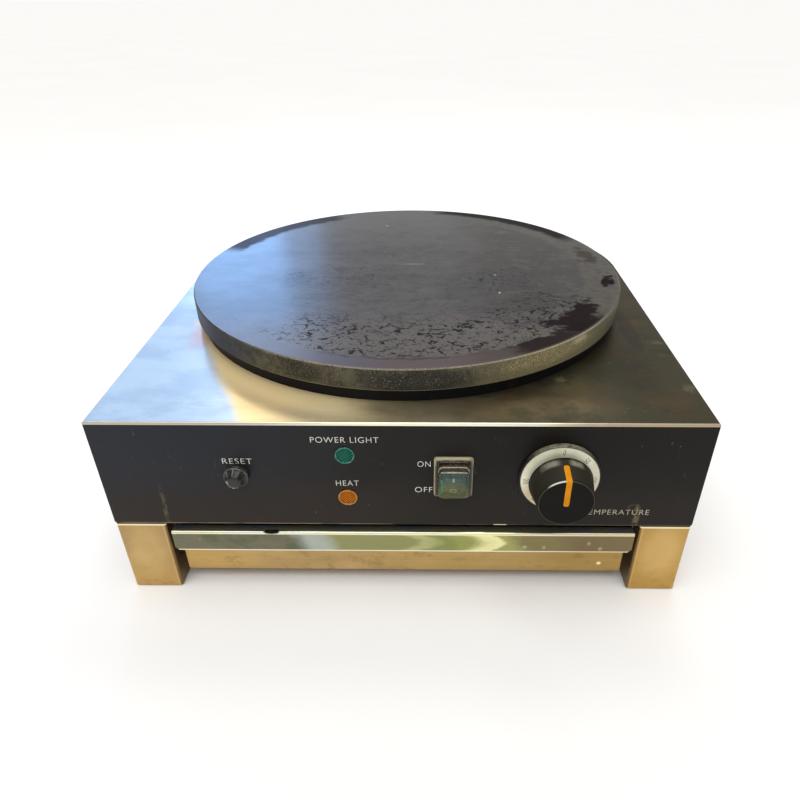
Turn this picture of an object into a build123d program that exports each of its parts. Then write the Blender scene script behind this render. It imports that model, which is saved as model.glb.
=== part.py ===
from build123d import *

import os
from math import cos, radians, sin, sqrt

# Electric crepe maker: a round cast-iron griddle on a sheet-metal casing with a drawer below.
#
# Millimetres. +Z is up, the control panel faces -Y and +X is to the operator's right. The origin
# is on the table, in the middle of the machine's outer box. Depths (names ending in _D or _DEPTH)
# are measured back from the panel's face, reaches are measured forward from it.

# ---------------------------------------------------------------- casing
BODY_W = 450.0              # width over the side walls
BODY_D = 450.0              # panel face to rear wall
BODY_H = 95.2               # underside of the base plate to the top sheet
REAR_CORNER_R = 140.0       # rounded rear corners of the casing, in plan
SHEET = 1.2                 # casing sheet thickness
FIT = 0.1                   # gap between sheets that nest
HEM_H = 2.3                 # turned-down edge of the top sheet
TOP_EDGE_R = 1.0            # outer bend of that edge
WALL_FLANGE_W = 12.0        # flanges turned in from the casing wall
BASE_UPSTAND_H = 12.0       # turned-up edge of the base plate
PANEL_CORNER_R = 2.0

# ---------------------------------------------------------------- legs
LEG_H = 70.8                # floor to the base plate
LEG_W = 39.5
LEG_D = 40.0
LEG_SHEET = 1.5
LEG_BEND_R = 2.2
REAR_LEG_MARGIN = 4.0       # rear leg corner inside the rounded corner of the casing
FOOT_PROUD = 1.0            # rubber foot below the leg's sheet
FOOT_H = 12.0
LEG_BOLT_SPACING = 20.0

# ---------------------------------------------------------------- fasteners
M4_R, M4_HEAD_R, M4_HEAD_H = 2.0, 3.6, 1.6
M5_R, M5_HEAD_R, M5_HEAD_H, M5_NUT_R, M5_NUT_H = 2.5, 4.6, 3.0, 4.6, 4.0
M8_R, M8_NUT_R, M8_NUT_H = 4.0, 7.5, 6.5
HOLE_FIT = 0.1              # radial clearance of a fixing hole
THREAD_STICK_OUT = 1.5      # bolt end beyond its nut
RIVET_R, RIVET_HEAD_R, RIVET_HEAD_H = 2.0, 3.5, 1.2
CASING_SCREW_DEPTHS = (60.0, 290.0)
REAR_SCREW_X = 72.0

# ---------------------------------------------------------------- vents
VENT_L, VENT_H, VENT_PITCH, VENT_ROWS = 55.0, 4.0, 10.0, 5
VENT_COLUMN_PITCH = 72.0
VENT_MID_H = 62.0           # middle of the vent group above the base plate
BASE_VENT_L, BASE_VENT_W, BASE_VENT_PITCH, BASE_VENT_COUNT = 60.0, 5.0, 14.0, 6

# ---------------------------------------------------------------- griddle
PLATE_R = 200.0
PLATE_THICK = 18.5          # over the rim
PLATE_WEB = 12.2            # cast thickness inside the rim
PLATE_RIM_W = 12.0
PLATE_GAP = 10.7            # top sheet to the underside of the rim
PLATE_EDGE = 0.9            # small chamfer on the cooking edge
STUD_OUTWARD = 3.0          # studs past the middle of the clamp's ring
STUD_BOSS_R = 9.0
STUD_GRIP = 5.0             # stud length inside its boss
PLATE_STAND_OFF = 0.3       # griddle rim above its skirt
SKIRT_INSET = 4.4           # skirt inside the griddle's rim
SKIRT_FOOT_W = 12.0

# ---------------------------------------------------------------- heating
TUBE_R = 3.9                # sheathed heating element
LOOP_WALL_GAP = 8.0         # outer loop's middle line to the heat pan's wall
LOOP_RING_GAP = 20.0        # outer hairpin to the middle of the clamp's ring
RING_LOOP_GAP = 15.0        # middle of the clamp's ring to the inner hairpin
HAIRPIN_R = 15.0            # half the distance between a hairpin's two loops
HAIRPIN_START = -84.0       # where both ends of a hairpin turn down, in degrees
HAIRPIN_SWEEP = 334.0
TUBE_BEND_R = 8.0
TERMINAL_DROP = 12.0        # terminal below the heat pan
TUBE_GAP = 0.1              # element to the griddle and to its clamp
CLAMP_T = 3.0
CLAMP_ARM_W = 26.0
CLAMP_ARM_PAST = 12.0       # clamp arms past the outer loop's middle line
CLAMP_RING_W = 20.0
CLAMP_HUB_R = 30.0
INSULATION_T = 20.8
PAN_SHEET = 1.2
PAN_FLANGE_W = 13.3
PAN_FLANGE_GAP = 1.1        # heat pan's flange to the skirt's foot
PAN_OPENING_FIT = 1.3       # heat pan in the top sheet's opening
SPACER_R = 7.0
SPACER_H = 20.0             # heat pan to the support bridge
TUBE_HOLE_FIT = 2.0         # hole round a heating tube
INSULATION_FIT = 1.0        # insulation inside the heat pan's wall

# ---------------------------------------------------------------- support bridges
BRIDGE_W = 30.0
BRIDGE_L = 300.0
BRIDGE_T = 2.0
BRIDGE_FOOT_L = 22.0

# ---------------------------------------------------------------- drawer
LIP_H = 20.4                # turned-down front lip, used as the pull
LIP_DROP = 9.1              # lip's top edge below the panel
LIP_SIDE_GAP = 2.6          # lip to each front leg
LIP_CORNER = 3.5            # cut lower corners of the lip
LIP_HEM = 2.2
LIP_BACK_H = 16.7
LIP_NOTCH_X, LIP_NOTCH_W, LIP_NOTCH_DEPTH = -103.5, 12.0, 1.8    # relief in the top bend
LIP_NOTCH_REACH = 4.0       # that relief, back from the lip's face
LIP_TOP_BEND, LIP_BOTTOM_BEND = 2.0, 0.9   # the lip's edge radii
DRAWER_SHEET = 1.0
DRAWER_BEND_R = 3.0
TRAY_SETBACK = 8.0          # tray's front wall behind the lip's face
TRAY_SIDE_GAP = 5.7         # tray's side wall to each front leg
TRAY_H = 47.0
TRAY_FLOOR_Z = 11.0
TRAY_REAR_GAP = 6.0         # tray to the rear legs
TRAY_FLANGE_W = 3.6
SLIDE_GAP = 0.4             # drawer flange to its rail
RAIL_T = 1.2
RAIL_LEG_GAP = 0.3
RAIL_FLANGE_W = 15.0
RAIL_START_DEPTH = 12.0
RAIL_RIVETS = 3

# ---------------------------------------------------------------- thermostat and knob
KNOB_X, KNOB_H = 117.0, 48.2          # knob axis, height above the casing's lower edge
KNOB_REACH = 30.0
KNOB_BACK = 8.0
KNOB_BASE_R, KNOB_FACE_R = 23.5, 19.7
KNOB_EDGE_R = 1.0
KNOB_WALL = 2.4
KNOB_HUB_R = 6.0
KNOB_HUB_BACK = 5.0
POINTER_W, POINTER_T, POINTER_PROUD = 4.0, 1.0, 0.25
POINTER_BACK = 15.5         # where the pointer starts on the knob's side, in front of the panel
POINTER_END_R = 1.6
POINTER_PAST_CENTRE = 2.6
SHAFT_R = 3.0
SHAFT_FLAT = 2.2            # flat of the D, from the shaft's axis
SHAFT_TIP_GAP = 2.0
SHAFT_HOLE_FIT = 1.1        # panel hole round the shaft
RUNNING_FIT = 0.05
THERMOSTAT_W, THERMOSTAT_H, THERMOSTAT_DEPTH, THERMOSTAT_CORNER_R = 44.0, 44.0, 38.0, 3.0
THERMOSTAT_SHAFT_DEPTH = 16.0
THERMOSTAT_SCREW_X, THERMOSTAT_SCREW_L = 14.0, 8.0
BLADE_W, BLADE_T, BLADE_L, BLADE_PITCH = 6.3, 0.8, 8.0, 12.0
DIAL_R = 30.2
DIAL_T, DIAL_EDGE = 3.6, 0.6
DIAL_RING_R, DIAL_RING_BORE_R, DIAL_RING_T = 28.9, 19.0, 0.8
DIAL_RING_PROUD = 0.2
DIAL_BORE_R = 7.5
CAPILLARY_R = 0.8
CAPILLARY_BEND_R = 4.0
CAPILLARY_HOLE_FIT = 1.1
CAPILLARY_DROP = 10.0       # capillary run below the heat pan
BULB_R, BULB_L = 3.5, 80.0
BULB_OUTWARD = 2.8          # bulb past the middle of the clamp's ring
BULB_TO_DROP = 10.0         # bulb's end to where its tube turns down

# ---------------------------------------------------------------- reset limiter
RESET_X, RESET_H = -121.0, 50.2
RESET_NUT_R, RESET_NUT_T, RESET_NUT_EDGE = 8.0, 3.0, 0.6
BUSHING_R, BUSHING_REACH = 5.0, 8.0
RESET_CAP_R, RESET_CAP_REACH, RESET_CAP_WALL = 7.1, 12.3, 1.5
RESET_CAP_BORE_R = 3.2
RESET_CAP_EDGE = 1.2
RESET_GAP = 0.3
PIN_R, PIN_REACH, PIN_DEPTH = 1.8, 9.3, 6.0
PIN_TRAVEL = 2.0
LIMITER_R, LIMITER_DEPTH = 14.0, 24.0

# ---------------------------------------------------------------- pilot lamps
LAMP_X = -40.4
POWER_LAMP_H, HEAT_LAMP_H = 67.3, 27.8
LENS_R, LENS_RIM_T, LENS_DOME_R, LENS_DOME_H = 7.3, 1.5, 6.0, 0.7
LENS_EDGE = 0.5
LAMP_BODY_R, LAMP_BODY_DEPTH = 5.5, 24.0
LAMP_CLIP_R, LAMP_CLIP_T = 8.0, 2.5

# ---------------------------------------------------------------- rocker switch
SWITCH_X, SWITCH_H = 38.9, 48.2
BEZEL_W, BEZEL_H, BEZEL_T, BEZEL_FRAME = 28.8, 35.5, 2.5, 2.35
BEZEL_CORNER_R, BEZEL_EDGE_R = 2.0, 0.8
BOOT_LEVELS = 3
BOOT_FIRST, BOOT_REACH = 3.2, 11.5
BOOT_STEP_IN, BOOT_STEP_SIDE = 1.4, 0.6    # each fold, from above and from the side
BOOT_WALL = 0.9
BOOT_CORNER_R = 3.0
ROCKER_W, ROCKER_L, ROCKER_REACH = 17.8, 20.0, 7.4
ROCKER_DISH = 0.8           # hollow in the middle of the rocker's face
ROCKER_TAIL_L, ROCKER_TAIL = 10.0, 2.0
ROCKER_TILT = 8.0           # each way from the middle
ROCKER_EDGE_R = 0.6
PIVOT_DEPTH = 3.0
PIVOT_R, PIVOT_SEAT = 1.5, 2.0
ROCKER_SIDE_GAP = 0.4
SWITCH_DEPTH = 24.0
SWITCH_POCKET_DEPTH = 7.5
SWITCH_CUTOUT_FIT = 0.2

# ---------------------------------------------------------------- supply
GLAND_X, GLAND_H = -55.0, 26.0
GLAND_BORE_R = 4.5
GLAND_THREAD_R, GLAND_HEX_R, GLAND_HEX_T = 9.0, 12.7, 6.0
GLAND_DOME_R, GLAND_REACH, GLAND_EDGE_R = 10.0, 22.0, 2.0
GLAND_INSIDE = 10.0
LOCKNUT_T = 4.0
EARTH_X = 55.0
EARTH_STICK_OUT = 12.0
BLOCK_W, BLOCK_D, BLOCK_H = 60.0, 24.0, 18.0
BLOCK_X, BLOCK_REAR_GAP = -30.0, 45.0
BLOCK_POLES = 3
BLOCK_SCREW_R = 2.5
LEAD_R = 1.5
LEAD_BEND_R = 10.0
LEAD_LEVEL_H = 9.0          # lead runs above the base plate
LEAD_RUN = 22.0             # straight run at a lead's end

# ---------------------------------------------------------------- derived places
BASE_Z = LEG_H
TOP_Z = BASE_Z + BODY_H
HEM_Z = TOP_Z - HEM_H
FLOOR_Z = BASE_Z + SHEET                    # inside floor of the casing
FRONT_Y = (KNOB_REACH + POINTER_PROUD - BODY_D - GLAND_REACH) / 2
REAR_Y = FRONT_Y + BODY_D
MID_Y = (FRONT_Y + REAR_Y) / 2
INNER = SHEET + FIT                         # inset of what nests inside the walls
SKIRT_R = PLATE_R - SKIRT_INSET
PAN_FLANGE_R = SKIRT_R - SKIRT_FOOT_W - PAN_FLANGE_GAP
PAN_R = PAN_FLANGE_R - PAN_FLANGE_W
OPENING_R = PAN_R + PAN_OPENING_FIT
OUTER_LOOP_R = PAN_R - PAN_SHEET - LOOP_WALL_GAP
CLAMP_RING_R = OUTER_LOOP_R - 2 * HAIRPIN_R - LOOP_RING_GAP
INNER_LOOP_R = CLAMP_RING_R - RING_LOOP_GAP
CLAMP_ARM_R = OUTER_LOOP_R + CLAMP_ARM_PAST
STUD_OFFSET = (CLAMP_RING_R + STUD_OUTWARD) / sqrt(2)    # from the griddle's axis, in x and y
RIM_Z = TOP_Z + PLATE_GAP
PLATE_TOP_Z = RIM_Z + PLATE_THICK
WEB_Z = PLATE_TOP_Z - PLATE_WEB
TUBE_Z = WEB_Z - TUBE_GAP - TUBE_R
CLAMP_TOP_Z = TUBE_Z - TUBE_R - TUBE_GAP
CLAMP_Z = CLAMP_TOP_Z - CLAMP_T
PAN_FLOOR_Z = CLAMP_Z - INSULATION_T        # inside floor of the heat pan
PAN_Z = PAN_FLOOR_Z - PAN_SHEET
BRIDGE_TOP_Z = PAN_Z - SPACER_H
FRONT_LEG_X = BODY_W / 2 - LEG_W / 2
REAR_CORNER_REACH = (REAR_CORNER_R - INNER - REAR_LEG_MARGIN) / sqrt(2)
REAR_LEG_X = BODY_W / 2 - REAR_CORNER_R + REAR_CORNER_REACH - LEG_W / 2
FRONT_LEG_Y = FRONT_Y + LEG_D / 2
REAR_LEG_Y = REAR_Y - REAR_CORNER_R + REAR_CORNER_REACH - LEG_D / 2
LEG_INNER_X = BODY_W / 2 - LEG_W
LIP_TOP_Z = BASE_Z - LIP_DROP
LIP_HALF_W = LEG_INNER_X - LIP_SIDE_GAP
TRAY_HALF_W = LEG_INNER_X - TRAY_SIDE_GAP
TRAY_FRONT_Y = FRONT_Y + TRAY_SETBACK
TRAY_REAR_Y = REAR_LEG_Y - LEG_D / 2 - TRAY_REAR_GAP
TRAY_TOP_Z = TRAY_FLOOR_Z + TRAY_H
RAIL_OUTER_X = LEG_INNER_X - RAIL_LEG_GAP
RAIL_SHELF_Z = TRAY_TOP_Z - DRAWER_SHEET - SLIDE_GAP
KNOB_Z = BASE_Z + KNOB_H
RESET_Z = BASE_Z + RESET_H
SWITCH_Z = BASE_Z + SWITCH_H
BLOCK_Y = REAR_Y - BLOCK_REAR_GAP - BLOCK_D / 2
BULB_X = CLAMP_RING_R + BULB_OUTWARD
BULB_Z = CLAMP_TOP_Z + BULB_R
CAPILLARY_DOWN_Y = MID_Y - BULB_L / 2 - BULB_TO_DROP
CAPILLARY_HOLES = [(side * BULB_X, CAPILLARY_DOWN_Y) for side in (-1, 1)]

SCREW_Z = BASE_Z + BASE_UPSTAND_H / 2
SIDE_SCREWS = [(FRONT_Y + depth, SCREW_Z) for depth in CASING_SCREW_DEPTHS]
REAR_SCREWS = [(side * REAR_SCREW_X, SCREW_Z) for side in (-1, 1)]
STUDS = [(sx * STUD_OFFSET, MID_Y + sy * STUD_OFFSET) for sx in (-1, 1) for sy in (-1, 1)]
LEG_PLACES = {
    "leg_front_left": (-FRONT_LEG_X, FRONT_LEG_Y, -1),
    "leg_front_right": (FRONT_LEG_X, FRONT_LEG_Y, -1),
    "leg_rear_left": (-REAR_LEG_X, REAR_LEG_Y, 1),
    "leg_rear_right": (REAR_LEG_X, REAR_LEG_Y, 1),
}
LEG_BOLTS = [
    (x, y + half * LEG_BOLT_SPACING / 2) for x, y, _ in LEG_PLACES.values() for half in (-1, 1)
]
RAIL_L = TRAY_REAR_Y - FRONT_Y - RAIL_START_DEPTH
RIVETS = [
    (side * (RAIL_OUTER_X - RAIL_FLANGE_W / 2),
     FRONT_Y + RAIL_START_DEPTH + RAIL_L * (row + 0.5) / RAIL_RIVETS)
    for side in (-1, 1)
    for row in range(RAIL_RIVETS)
]
BRIDGE_FEET = [
    (sx * STUD_OFFSET, MID_Y + sy * (BRIDGE_L - BRIDGE_FOOT_L) / 2)
    for sx in (-1, 1)
    for sy in (-1, 1)
]
PANEL = Plane(origin=(0, FRONT_Y, 0), x_dir=(1, 0, 0), z_dir=(0, -1, 0))
REAR_WALL = Plane(origin=(0, REAR_Y, 0), x_dir=(-1, 0, 0), z_dir=(0, 1, 0))
THERMOSTAT_SCREWS = [(KNOB_X + side * THERMOSTAT_SCREW_X, KNOB_Z) for side in (-1, 1)]
LAMP_PLACES = [(LAMP_X, BASE_Z + height) for height in (POWER_LAMP_H, HEAT_LAMP_H)]
GLAND_PLACE = (-GLAND_X, BASE_Z + GLAND_H)  # on the rear wall, where x runs the other way
EARTH_PLACE = (-EARTH_X, BASE_Z + GLAND_H)

pieces = {}


def behind(depth):
    """The panel's plane, moved back into the casing; extrude(amount) there comes forward."""
    return PANEL.offset(-depth)


def level(height):
    """A horizontal plane at a height above the table."""
    return Plane.XY.offset(height)


def on_axis(x, z):
    """A plane through a control's axis: local x is the radius, local y runs back."""
    return Plane(origin=(x, FRONT_Y, z), x_dir=(1, 0, 0), z_dir=(0, 0, 1))


def casing_outline(inset):
    """The casing in plan, moved in from its outer face; its rear corners are round."""
    with BuildSketch(mode=Mode.PRIVATE) as outline:
        with Locations((0, MID_Y)):
            Rectangle(BODY_W - 2 * inset, BODY_D - 2 * inset)
        fillet(outline.vertices().group_by(Axis.Y)[-1], radius=REAR_CORNER_R - inset)
    return outline.sketch


# ================================================================ casing
OUTER_OUTLINE = casing_outline(0)
WALL_OUTLINE = casing_outline(SHEET)
NEST_OUTLINE = casing_outline(INNER)
NEST_INSIDE = casing_outline(INNER + SHEET)
FLANGE_INSIDE = casing_outline(INNER + WALL_FLANGE_W)

with BuildPart() as top_cover:
    with BuildSketch(level(HEM_Z)):
        add(OUTER_OUTLINE)
    extrude(amount=HEM_H)
    fillet(top_cover.faces().sort_by(Axis.Z)[-1].outer_wire().edges(), radius=TOP_EDGE_R)
    with BuildSketch(level(HEM_Z)):
        add(WALL_OUTLINE)
    extrude(amount=HEM_H - SHEET, mode=Mode.SUBTRACT)
    with BuildSketch(level(TOP_Z)):
        with Locations((0, MID_Y)):
            Circle(OPENING_R)
    extrude(amount=-SHEET, mode=Mode.SUBTRACT)
pieces["top_cover"] = top_cover

with BuildPart() as casing_wall:
    # outer wall, up to the top sheet's turned edge
    with BuildSketch(level(BASE_Z)):
        add(OUTER_OUTLINE)
        add(WALL_OUTLINE, mode=Mode.SUBTRACT)
    extrude(amount=HEM_Z - FIT - BASE_Z)
    # stepped in under the top sheet, with a flange that carries it
    with BuildSketch(level(HEM_Z - FIT - SHEET)):
        add(WALL_OUTLINE)
        add(NEST_INSIDE, mode=Mode.SUBTRACT)
    extrude(amount=SHEET)
    with BuildSketch(level(HEM_Z - FIT - SHEET)):
        add(NEST_OUTLINE)
        add(NEST_INSIDE, mode=Mode.SUBTRACT)
    extrude(amount=TOP_Z - HEM_Z + FIT)
    with BuildSketch(level(TOP_Z - SHEET)):
        add(NEST_OUTLINE)
        add(FLANGE_INSIDE, mode=Mode.SUBTRACT)
    extrude(amount=-SHEET)
    # open at the front, where the panel goes
    with BuildSketch(level(BASE_Z)):
        with Locations((0, FRONT_Y)):
            Rectangle(BODY_W, 2 * SHEET)
    extrude(amount=HEM_Z - BASE_Z, mode=Mode.SUBTRACT)
    with BuildSketch(level(BASE_Z)):
        with Locations((0, FRONT_Y)):
            Rectangle(BODY_W - 2 * INNER, 2 * (INNER + WALL_FLANGE_W))
    extrude(amount=HEM_Z - FIT - SHEET - BASE_Z, mode=Mode.SUBTRACT)
    # front flanges behind the panel, above the base plate's upstand
    flange_z = BASE_Z + BASE_UPSTAND_H + SHEET
    for side in (-1, 1):
        with BuildSketch(behind(2 * SHEET)):
            with Locations((side * (BODY_W - SHEET - WALL_FLANGE_W) / 2, flange_z)):
                Rectangle(WALL_FLANGE_W + SHEET, HEM_Z - FIT - flange_z, align=(Align.CENTER, Align.MIN))
        extrude(amount=SHEET)
    # ventilation slots, behind and at both sides
    with BuildSketch(REAR_WALL):
        with Locations((0, BASE_Z + VENT_MID_H)):
            with GridLocations(VENT_COLUMN_PITCH, VENT_PITCH, 2, VENT_ROWS):
                SlotOverall(VENT_L, VENT_H)
    extrude(amount=-2 * SHEET, mode=Mode.SUBTRACT)
    with BuildSketch(Plane.YZ):
        with Locations((FRONT_Y + (BODY_D - REAR_CORNER_R) / 2, BASE_Z + VENT_MID_H)):
            with GridLocations(VENT_COLUMN_PITCH, VENT_PITCH, 2, VENT_ROWS):
                SlotOverall(VENT_L, VENT_H)
    extrude(amount=BODY_W, both=True, mode=Mode.SUBTRACT)
    # cable gland and earth stud holes
    with BuildSketch(REAR_WALL):
        with Locations(GLAND_PLACE):
            Circle(GLAND_THREAD_R + HOLE_FIT)
        with Locations(EARTH_PLACE):
            Circle(M5_R + HOLE_FIT)
    extrude(amount=-SHEET, mode=Mode.SUBTRACT)
    # screw holes into the base plate's upstand
    with BuildSketch(Plane.YZ):
        with Locations(*SIDE_SCREWS):
            Circle(M4_R + HOLE_FIT)
    extrude(amount=BODY_W, both=True, mode=Mode.SUBTRACT)
    with BuildSketch(REAR_WALL):
        with Locations(*REAR_SCREWS):
            Circle(M4_R + HOLE_FIT)
    extrude(amount=-2 * SHEET, mode=Mode.SUBTRACT)
pieces["casing_wall"] = casing_wall

with BuildPart() as front_panel:
    with BuildSketch(PANEL) as panel_face:
        with Locations((0, BASE_Z)):
            Rectangle(BODY_W, HEM_Z - FIT - BASE_Z, align=(Align.CENTER, Align.MIN))
        fillet(panel_face.vertices().group_by(Axis.Y)[0], radius=PANEL_CORNER_R)
        with Locations((KNOB_X, KNOB_Z)):
            Circle(SHAFT_R + SHAFT_HOLE_FIT, mode=Mode.SUBTRACT)
        with Locations(*THERMOSTAT_SCREWS):
            Circle(M4_HEAD_R + HOLE_FIT, mode=Mode.SUBTRACT)
        with Locations((RESET_X, RESET_Z)):
            Circle(BUSHING_R + HOLE_FIT, mode=Mode.SUBTRACT)
        with Locations(*LAMP_PLACES):
            Circle(LAMP_BODY_R + HOLE_FIT, mode=Mode.SUBTRACT)
        with Locations((SWITCH_X, SWITCH_Z)):
            Rectangle(BEZEL_W - 2 * BEZEL_FRAME + 2 * SWITCH_CUTOUT_FIT,
                      BEZEL_H - 2 * BEZEL_FRAME + 2 * SWITCH_CUTOUT_FIT, mode=Mode.SUBTRACT)
    extrude(amount=-SHEET)
pieces["front_panel"] = front_panel

with BuildPart() as base_plate:
    with BuildSketch(level(BASE_Z)):
        add(NEST_OUTLINE)
    extrude(amount=SHEET)
    with BuildSketch(level(BASE_Z)):
        add(NEST_OUTLINE)
        add(NEST_INSIDE, mode=Mode.SUBTRACT)
    extrude(amount=BASE_UPSTAND_H)
    with BuildSketch(level(BASE_Z)):
        with Locations(*LEG_BOLTS, *BRIDGE_FEET):
            Circle(M5_R + HOLE_FIT)
        with Locations((0, MID_Y)):
            with GridLocations(0, BASE_VENT_PITCH, 1, BASE_VENT_COUNT):
                SlotOverall(BASE_VENT_L, BASE_VENT_W)
    extrude(amount=SHEET, mode=Mode.SUBTRACT)
    with BuildSketch(Plane.YZ):
        with Locations(*SIDE_SCREWS):
            Circle(M4_R + HOLE_FIT)
    extrude(amount=BODY_W, both=True, mode=Mode.SUBTRACT)
    with BuildSketch(REAR_WALL):
        with Locations(*REAR_SCREWS):
            Circle(M4_R + HOLE_FIT)
    extrude(amount=-2 * INNER, mode=Mode.SUBTRACT)
    with BuildSketch(level(BASE_Z)):
        with Locations(*RIVETS):
            Circle(RIVET_R + HOLE_FIT)
    extrude(amount=SHEET, mode=Mode.SUBTRACT)
pieces["base_plate"] = base_plate

with BuildPart() as casing_screws:
    for side in (-1, 1):
        wall = Plane.YZ.offset(side * BODY_W / 2)
        with BuildSketch(wall):
            with Locations(*SIDE_SCREWS):
                Circle(M4_HEAD_R)
        extrude(amount=side * M4_HEAD_H)
        with BuildSketch(wall):
            with Locations(*SIDE_SCREWS):
                Circle(M4_R)
        extrude(amount=-side * (INNER + SHEET + THREAD_STICK_OUT))
    with BuildSketch(REAR_WALL):
        with Locations(*REAR_SCREWS):
            Circle(M4_HEAD_R)
    extrude(amount=M4_HEAD_H)
    with BuildSketch(REAR_WALL):
        with Locations(*REAR_SCREWS):
            Circle(M4_R)
    extrude(amount=-(INNER + SHEET + THREAD_STICK_OUT))
pieces["casing_screws"] = casing_screws


# ================================================================ legs
def folded_leg(x, y, closed):
    """One folded leg: three walls and a top; closed is the side (-1 front, 1 rear) of its face."""
    with BuildPart() as leg:
        with Locations((x, y, FOOT_PROUD)):
            Box(LEG_W, LEG_D, LEG_H - FOOT_PROUD, align=(Align.CENTER, Align.CENTER, Align.MIN))
        face = leg.faces().sort_by(Axis.Y)[0 if closed < 0 else -1]
        fillet(face.edges().sort_by(Axis.Z)[1:], radius=LEG_BEND_R)
        with Locations((x, y - closed * LEG_SHEET, FOOT_PROUD)):
            Box(LEG_W - 2 * LEG_SHEET, LEG_D, LEG_H - FOOT_PROUD - LEG_SHEET,
                align=(Align.CENTER, Align.CENTER, Align.MIN), mode=Mode.SUBTRACT)
        with BuildSketch(level(LEG_H)):
            with Locations(*[(x, y + half * LEG_BOLT_SPACING / 2) for half in (-1, 1)]):
                Circle(M5_R + HOLE_FIT)
        extrude(amount=-LEG_SHEET, mode=Mode.SUBTRACT)
    return leg


for name, (leg_x, leg_y, leg_closed) in LEG_PLACES.items():
    pieces[name] = folded_leg(leg_x, leg_y, leg_closed)

with BuildPart() as foot_pads:
    for leg_x, leg_y, leg_closed in LEG_PLACES.values():
        with Locations((leg_x, leg_y - leg_closed * LEG_SHEET / 2, 0)):
            Box(LEG_W - 2 * LEG_SHEET, LEG_D - LEG_SHEET, FOOT_H,
                align=(Align.CENTER, Align.CENTER, Align.MIN))
pieces["foot_pads"] = foot_pads

with BuildPart() as leg_bolts:
    with BuildSketch(level(LEG_H - LEG_SHEET)):
        with Locations(*LEG_BOLTS):
            Circle(M5_HEAD_R)
    extrude(amount=-M5_HEAD_H)
    with BuildSketch(level(LEG_H - LEG_SHEET)):
        with Locations(*LEG_BOLTS):
            Circle(M5_R)
    extrude(amount=LEG_SHEET + SHEET + M5_NUT_H + THREAD_STICK_OUT)
pieces["leg_bolts"] = leg_bolts

with BuildPart() as leg_nuts:
    with BuildSketch(level(FLOOR_Z)):
        with Locations(*LEG_BOLTS):
            RegularPolygon(M5_NUT_R, 6)
            Circle(M5_R, mode=Mode.SUBTRACT)
    extrude(amount=M5_NUT_H)
pieces["leg_nuts"] = leg_nuts


# ================================================================ griddle and heating
with BuildPart() as cooking_plate:
    with BuildSketch(level(RIM_Z)):
        with Locations((0, MID_Y)):
            Circle(PLATE_R)
    extrude(amount=PLATE_THICK)
    chamfer(cooking_plate.edges().filter_by(GeomType.CIRCLE), length=PLATE_EDGE)
    with BuildSketch(level(RIM_Z)):
        with Locations((0, MID_Y)):
            Circle(PLATE_R - PLATE_RIM_W)
        with Locations(*STUDS):
            Circle(STUD_BOSS_R, mode=Mode.SUBTRACT)
    extrude(amount=WEB_Z - RIM_Z, mode=Mode.SUBTRACT)
    # the bosses stop at the element clamp; their holes take the studs
    with BuildSketch(level(RIM_Z)):
        with Locations(*STUDS):
            Circle(M8_R)
    extrude(amount=STUD_GRIP, mode=Mode.SUBTRACT)
pieces["cooking_plate"] = cooking_plate

with BuildPart() as plate_skirt:
    with BuildSketch(level(TOP_Z)):
        with Locations((0, MID_Y)):
            Circle(SKIRT_R)
            Circle(SKIRT_R - SKIRT_FOOT_W, mode=Mode.SUBTRACT)
    extrude(amount=SHEET)
    with BuildSketch(level(TOP_Z)):
        with Locations((0, MID_Y)):
            Circle(SKIRT_R)
            Circle(SKIRT_R - SHEET, mode=Mode.SUBTRACT)
    extrude(amount=PLATE_GAP - PLATE_STAND_OFF)
pieces["plate_skirt"] = plate_skirt


def around_axis(radius, angle, height):
    """A point on a circle about the griddle's axis."""
    return Vector(radius * cos(radians(angle)), MID_Y + radius * sin(radians(angle)), height)


def hairpin_element(loop_r):
    """One sheathed element: out round a large loop, back round a smaller one, ends turned down."""
    bottom = PAN_Z - TERMINAL_DROP
    up = Vector(0, 0, 1)
    ahead = Vector(-sin(radians(HAIRPIN_START)), cos(radians(HAIRPIN_START)), 0)
    small_r = loop_r - 2 * HAIRPIN_R
    ends = [around_axis(r, HAIRPIN_START, TUBE_Z) for r in (loop_r, small_r)]
    turn = HAIRPIN_START + HAIRPIN_SWEEP
    with BuildPart() as element:
        with BuildLine() as route:
            out_of_bend = [end - ahead * TUBE_BEND_R for end in ends]
            middles = [
                end - up * TUBE_BEND_R + (up - ahead) * (TUBE_BEND_R / sqrt(2)) for end in ends
            ]
            first = Vector(out_of_bend[0].X, out_of_bend[0].Y, bottom)
            Line(first, out_of_bend[0] - up * TUBE_BEND_R)
            ThreePointArc(out_of_bend[0] - up * TUBE_BEND_R, middles[0], ends[0])
            ThreePointArc(ends[0], around_axis(loop_r, (HAIRPIN_START + turn) / 2, TUBE_Z),
                          around_axis(loop_r, turn, TUBE_Z))
            ThreePointArc(around_axis(loop_r, turn, TUBE_Z),
                          around_axis(loop_r - HAIRPIN_R, turn, TUBE_Z)
                          + Vector(-sin(radians(turn)), cos(radians(turn)), 0) * HAIRPIN_R,
                          around_axis(small_r, turn, TUBE_Z))
            ThreePointArc(around_axis(small_r, turn, TUBE_Z),
                          around_axis(small_r, (HAIRPIN_START + turn) / 2, TUBE_Z), ends[1])
            ThreePointArc(ends[1], middles[1], out_of_bend[1] - up * TUBE_BEND_R)
            Line(out_of_bend[1] - up * TUBE_BEND_R, Vector(out_of_bend[1].X, out_of_bend[1].Y, bottom))
        with BuildSketch(Plane(origin=first, z_dir=(0, 0, 1))):
            Circle(TUBE_R)
        sweep(path=route.wires()[0])
    return element


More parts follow.
